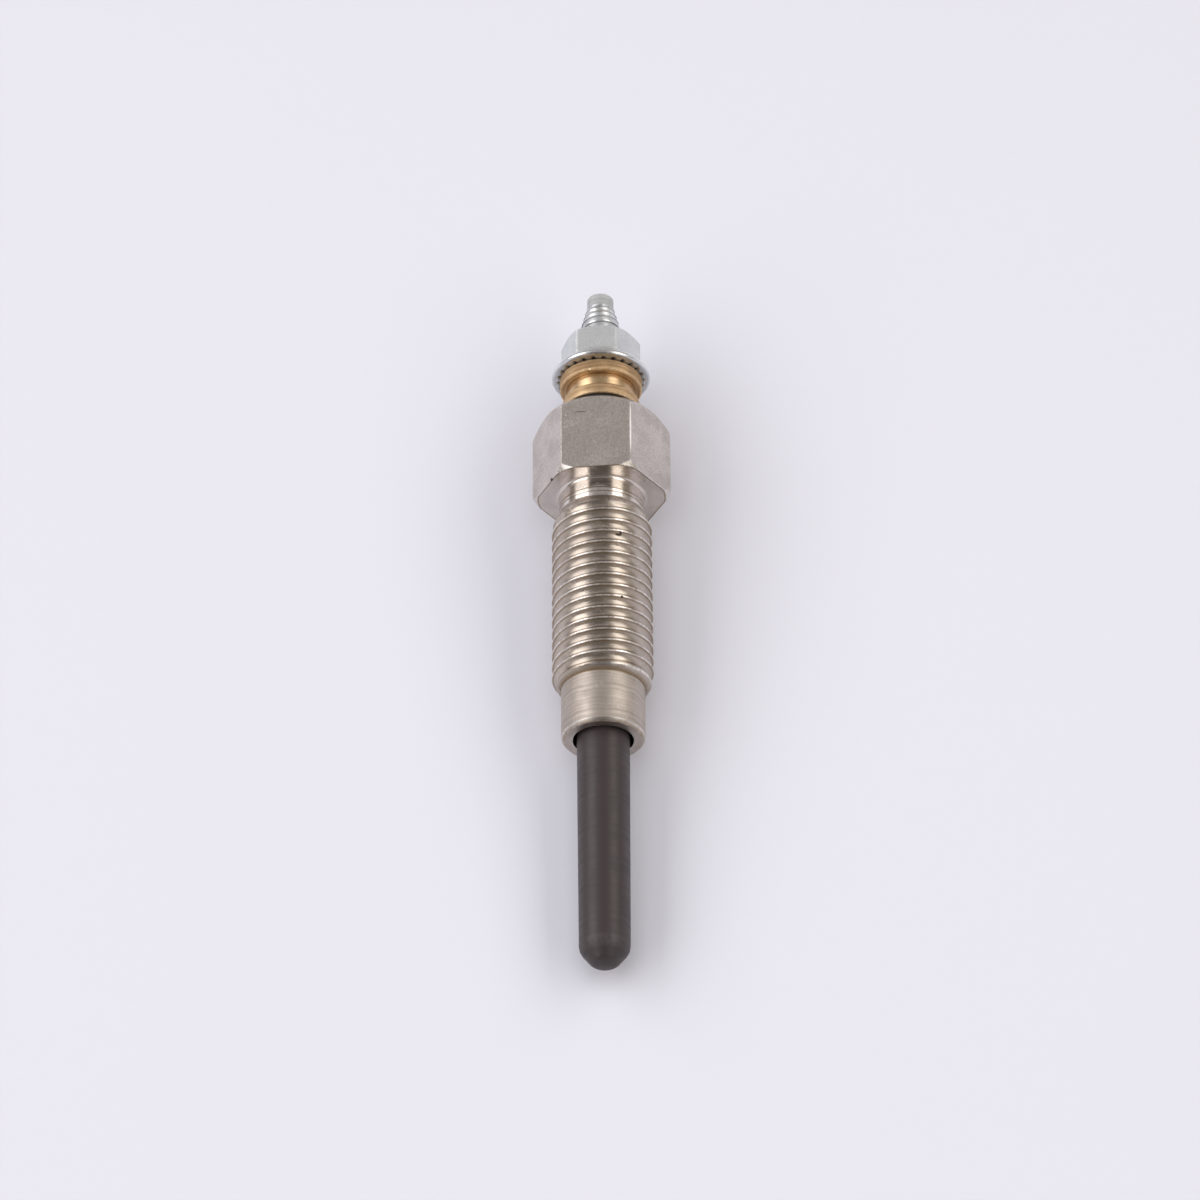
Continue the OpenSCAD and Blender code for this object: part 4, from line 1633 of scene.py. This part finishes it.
@dataclass
class Studio:
    """Pale floor, soft lights and the camera.

    Attributes:
        look_z: Height on the plug's axis that the camera looks at.
        distance: Distance of the camera from there, in millimetres.
        lens: Focal length on a 36 mm sensor.
        axis_angle_deg: Angle between the view and the plug's axis.
        side_deg: How far the camera stands to the right, about the plug's axis.
        roll_deg: How far the tip leans to the right in the picture.
        shift: How far the picture is moved to the right, as a share of its width.
        floor_half: Half the width of the floor, in metres.
        floor_colour: Colour of the floor.
        high: Light of the room at the sides.
        low_left: Light of the room near the floor, on the left.
        low_right: Light of the room near the floor, on the right.
        dim: Light of the strip overhead.
        dark: Light of that strip towards the tip's side, where the camera stands.
        dim_half_deg: Half the width of the strip overhead.
        dark_more_deg: How much further the strip reaches on each side where the camera stands.
        figure_half_deg: Half the width of what stands at the tip's side.
        light_distance: Distance of the softboxes from the plug, in metres.
        softboxes: The lights.
    """

    DARK_TOWARDS_TIP = (0.1, 0.45)
    HIGH_FROM = (0.3, 0.6)
    SIDES_MEET = (-0.1, 0.1)
    SOFT_EDGE_DEG = 4.0
    SENSOR = 36.0
    CLIP = (0.01, 20.0)
    FLOOR_ROUGHNESS = 0.9
    FLOOR_SPECULAR = 0.1

    look_z: float = -11.75
    distance: float = 500.0
    lens: float = 154.1
    axis_angle_deg: float = 57.78
    side_deg: float = 5.3
    roll_deg: float = 0.4
    shift: float = 0.002
    floor_half: float = 3.0
    floor_colour: Colour = (0.695, 0.695, 0.765)
    high: Colour = (0.5, 0.485, 0.49)
    low_left: Colour = (0.26, 0.235, 0.22)
    low_right: Colour = (0.36, 0.325, 0.28)
    dim: Colour = (0.34, 0.32, 0.31)
    dark: Colour = (0.14, 0.13, 0.125)
    dim_half_deg: float = 25.0
    dark_more_deg: float = 13.0
    figure_half_deg: float = 16.0
    light_distance: float = 0.6
    softboxes: tuple[Softbox, ...] = (
        Softbox("softbox_left", -50.0, 38.0, (-1.2, 1.2), 1.85, (1.0, 0.985, 0.98)),
        Softbox("softbox_right", 48.4, 27.0, (-1.2, 1.1), 1.95, (1.0, 0.975, 0.92)),
        Softbox("fill_above", 0.0, 40.0, (-0.5, 0.5), 1.4, (0.97, 0.98, 1.0), False),
    )

    def lean(self, axis: PlugAxis, angle_deg: float, forward: float) -> Vector:
        """Direction that leans from the upright about the plug's axis.

        Args:
            axis: The plug's axis.
            angle_deg: Lean to the right.
            forward: Share of the direction along the axis, towards the stud.

        Returns:
            The direction, of length 1.
        """
        angle = math.radians(angle_deg)
        across = axis.side * math.sin(angle) - axis.below * math.cos(angle)
        return axis.up * forward + across * math.sqrt(1 - forward * forward)

    def set_floor(self) -> None:
        """Makes the pale floor."""
        half = self.floor_half
        corners = [(-half, -half, 0), (half, -half, 0), (half, half, 0), (-half, half, 0)]
        mesh = bpy.data.meshes.new("floor")
        mesh.from_pydata(corners, [], [(0, 1, 2, 3)])
        floor = bpy.data.objects.new("floor", mesh)
        bpy.context.scene.collection.objects.link(floor)
        material, _, shader = shader_of("pale_floor")
        shader.inputs["Base Color"].default_value = opaque(self.floor_colour)
        shader.inputs["Roughness"].default_value = self.FLOOR_ROUGHNESS
        shader.inputs["Specular IOR Level"].default_value = self.FLOOR_SPECULAR
        mesh.materials.append(material)

    def set_surround(self, axis: PlugAxis) -> None:
        """Makes the light room, dim in a strip overhead and where someone stands at the tip's side.

        Args:
            axis: The plug's axis.
        """
        world = bpy.data.worlds.new("studio")
        world.use_nodes = True
        sheet = NodeSheet(world.node_tree)
        look = sheet.add("TexCoord").outputs["Generated"]
        ways = {
            "above": self.lean(axis, self.side_deg, 0.0),
            "beside": self.lean(axis, self.side_deg + 90, 0.0),
            "to_tip": -axis.up,
            "upright": Vector((0.0, 0.0, 1.0)),
        }
        shares = {name: sheet.vector("DOT_PRODUCT", look, way)["Value"] for name, way in ways.items()}
        aside = sheet.math("ABSOLUTE", shares["beside"])
        nearer = sheet.spread(shares["to_tip"], *self.DARK_TOWARDS_TIP)
        widened = sheet.times(nearer, math.radians(self.dark_more_deg))
        overhead = sheet.math("SUBTRACT", sheet.math("ARCTAN2", aside, shares["above"]), widened)
        standing = sheet.math("ARCTAN2", aside, shares["to_tip"])
        soft = math.radians(self.SOFT_EDGE_DEG)
        masks = []
        for off, half_deg in ((overhead, self.dim_half_deg), (standing, self.figure_half_deg)):
            half = math.radians(half_deg)
            masks.append(sheet.spread(off, half - soft, half + soft, 1.0, 0.0))
        to_right = sheet.spread(shares["beside"], *self.SIDES_MEET)
        low = sheet.mix(to_right, opaque(self.low_left), opaque(self.low_right))
        colour = sheet.mix(sheet.spread(shares["upright"], *self.HIGH_FROM), low, opaque(self.high))
        dim = sheet.mix(nearer, opaque(self.dim), opaque(self.dark))
        colour = sheet.mix(sheet.math("MAXIMUM", *masks), colour, dim)
        sheet.join(colour, world.node_tree.nodes["Background"].inputs["Color"])
        bpy.context.scene.world = world

    def set_softboxes(self, axis: PlugAxis) -> None:
        """Hangs the softboxes beside the plug, along its axis.

        Args:
            axis: The plug's axis.
        """
        aim = axis.place(Vector((0.0, 0.0, self.look_z)))
        far = self.light_distance
        for box in self.softboxes:
            data = bpy.data.lights.new(box.name, "AREA")
            data.shape = "RECTANGLE"
            data.size = 2 * far * math.tan(math.radians(box.width_deg / 2))
            data.size_y = far * (box.ends[1] - box.ends[0])
            data.energy = box.radiance * math.pi * data.size * data.size_y
            data.color = box.tint
            lamp = bpy.data.objects.new(box.name, data)
            lamp.visible_glossy = box.mirrored
            bpy.context.scene.collection.objects.link(lamp)
            back = self.lean(axis, box.lean_deg, 0.0)
            middle = aim + back * far + axis.up * (far * sum(box.ends) / 2)
            lamp.matrix_world = self.facing(middle, back, axis.up)

    @staticmethod
    def facing(place: Vector, back: Vector, up: Vector) -> Matrix:
        """Matrix of a camera or lamp at a place whose back and upper side point in two directions.

        Args:
            place: Where it is.
            back: Direction of its back.
            up: Direction of its upper side.

        Returns:
            The matrix.
        """
        across = up.cross(back).normalized()
        turn = Matrix((across, back.cross(across), back)).transposed().to_4x4()
        return Matrix.Translation(place) @ turn

    def set_camera(self, axis: PlugAxis) -> None:
        """Puts the camera where the photograph was taken from.

        Args:
            axis: The plug's axis.
        """
        forward = math.cos(math.radians(self.axis_angle_deg))
        back = self.lean(axis, self.side_deg, -forward)
        aim = axis.place(Vector((0.0, 0.0, self.look_z)))
        data = bpy.data.cameras.new("camera")
        data.lens = self.lens
        data.sensor_width = self.SENSOR
        data.shift_x = -self.shift
        data.clip_start, data.clip_end = self.CLIP
        camera = bpy.data.objects.new("camera", data)
        bpy.context.scene.collection.objects.link(camera)
        roll = Matrix.Rotation(-math.radians(self.roll_deg), 4, "Z")
        camera.matrix_world = self.facing(aim + back * self.distance * MM, back, axis.up) @ roll
        bpy.context.scene.camera = camera

    def set_up(self, axis: PlugAxis) -> None:
        """Sets up floor, lights, camera and the plain view of colours.

        Args:
            axis: The plug's axis.
        """
        self.set_floor()
        self.set_surround(axis)
        self.set_softboxes(axis)
        self.set_camera(axis)
        bpy.context.scene.view_settings.view_transform = "Standard"


def main() -> None:
    """Builds and dresses every piece in order, then sets up the studio."""
    logging.basicConfig(level=logging.INFO, format="%(name)s: %(message)s")
    body = BodyShell()
    axis = PlugAxis.from_record(frame["record"], body.thread_middle())
    pieces: list[TurnedPiece] = [body, HeaterTube(), CentreElectrode(), RoundNut(), TerminalNut()]
    for piece in pieces:
        made = piece.build(axis)
        piece.dress(made)
        log.info("%s: %d faces, %s", made.name, len(made.data.polygons), piece.finish.name)
    kept = [
        KeptSolid("insulator_bush", MOULDED_BLACK),
        KeptSolid("o_ring", RUBBER),
        KeptSolid("tube_seal", RUBBER),
        KeptSolid("magnesia_fill", POWDER),
        KeptSolid("regulating_coil", WIRE),
        KeptSolid("heating_coil", WIRE),
    ]
    for solid in kept:
        shown = solid.dress(frame["nodes"])
        log.info("%s: packed solid, %s", shown.name, solid.finish.name)
    Studio().set_up(axis)


if __name__ == "__main__":
    main()
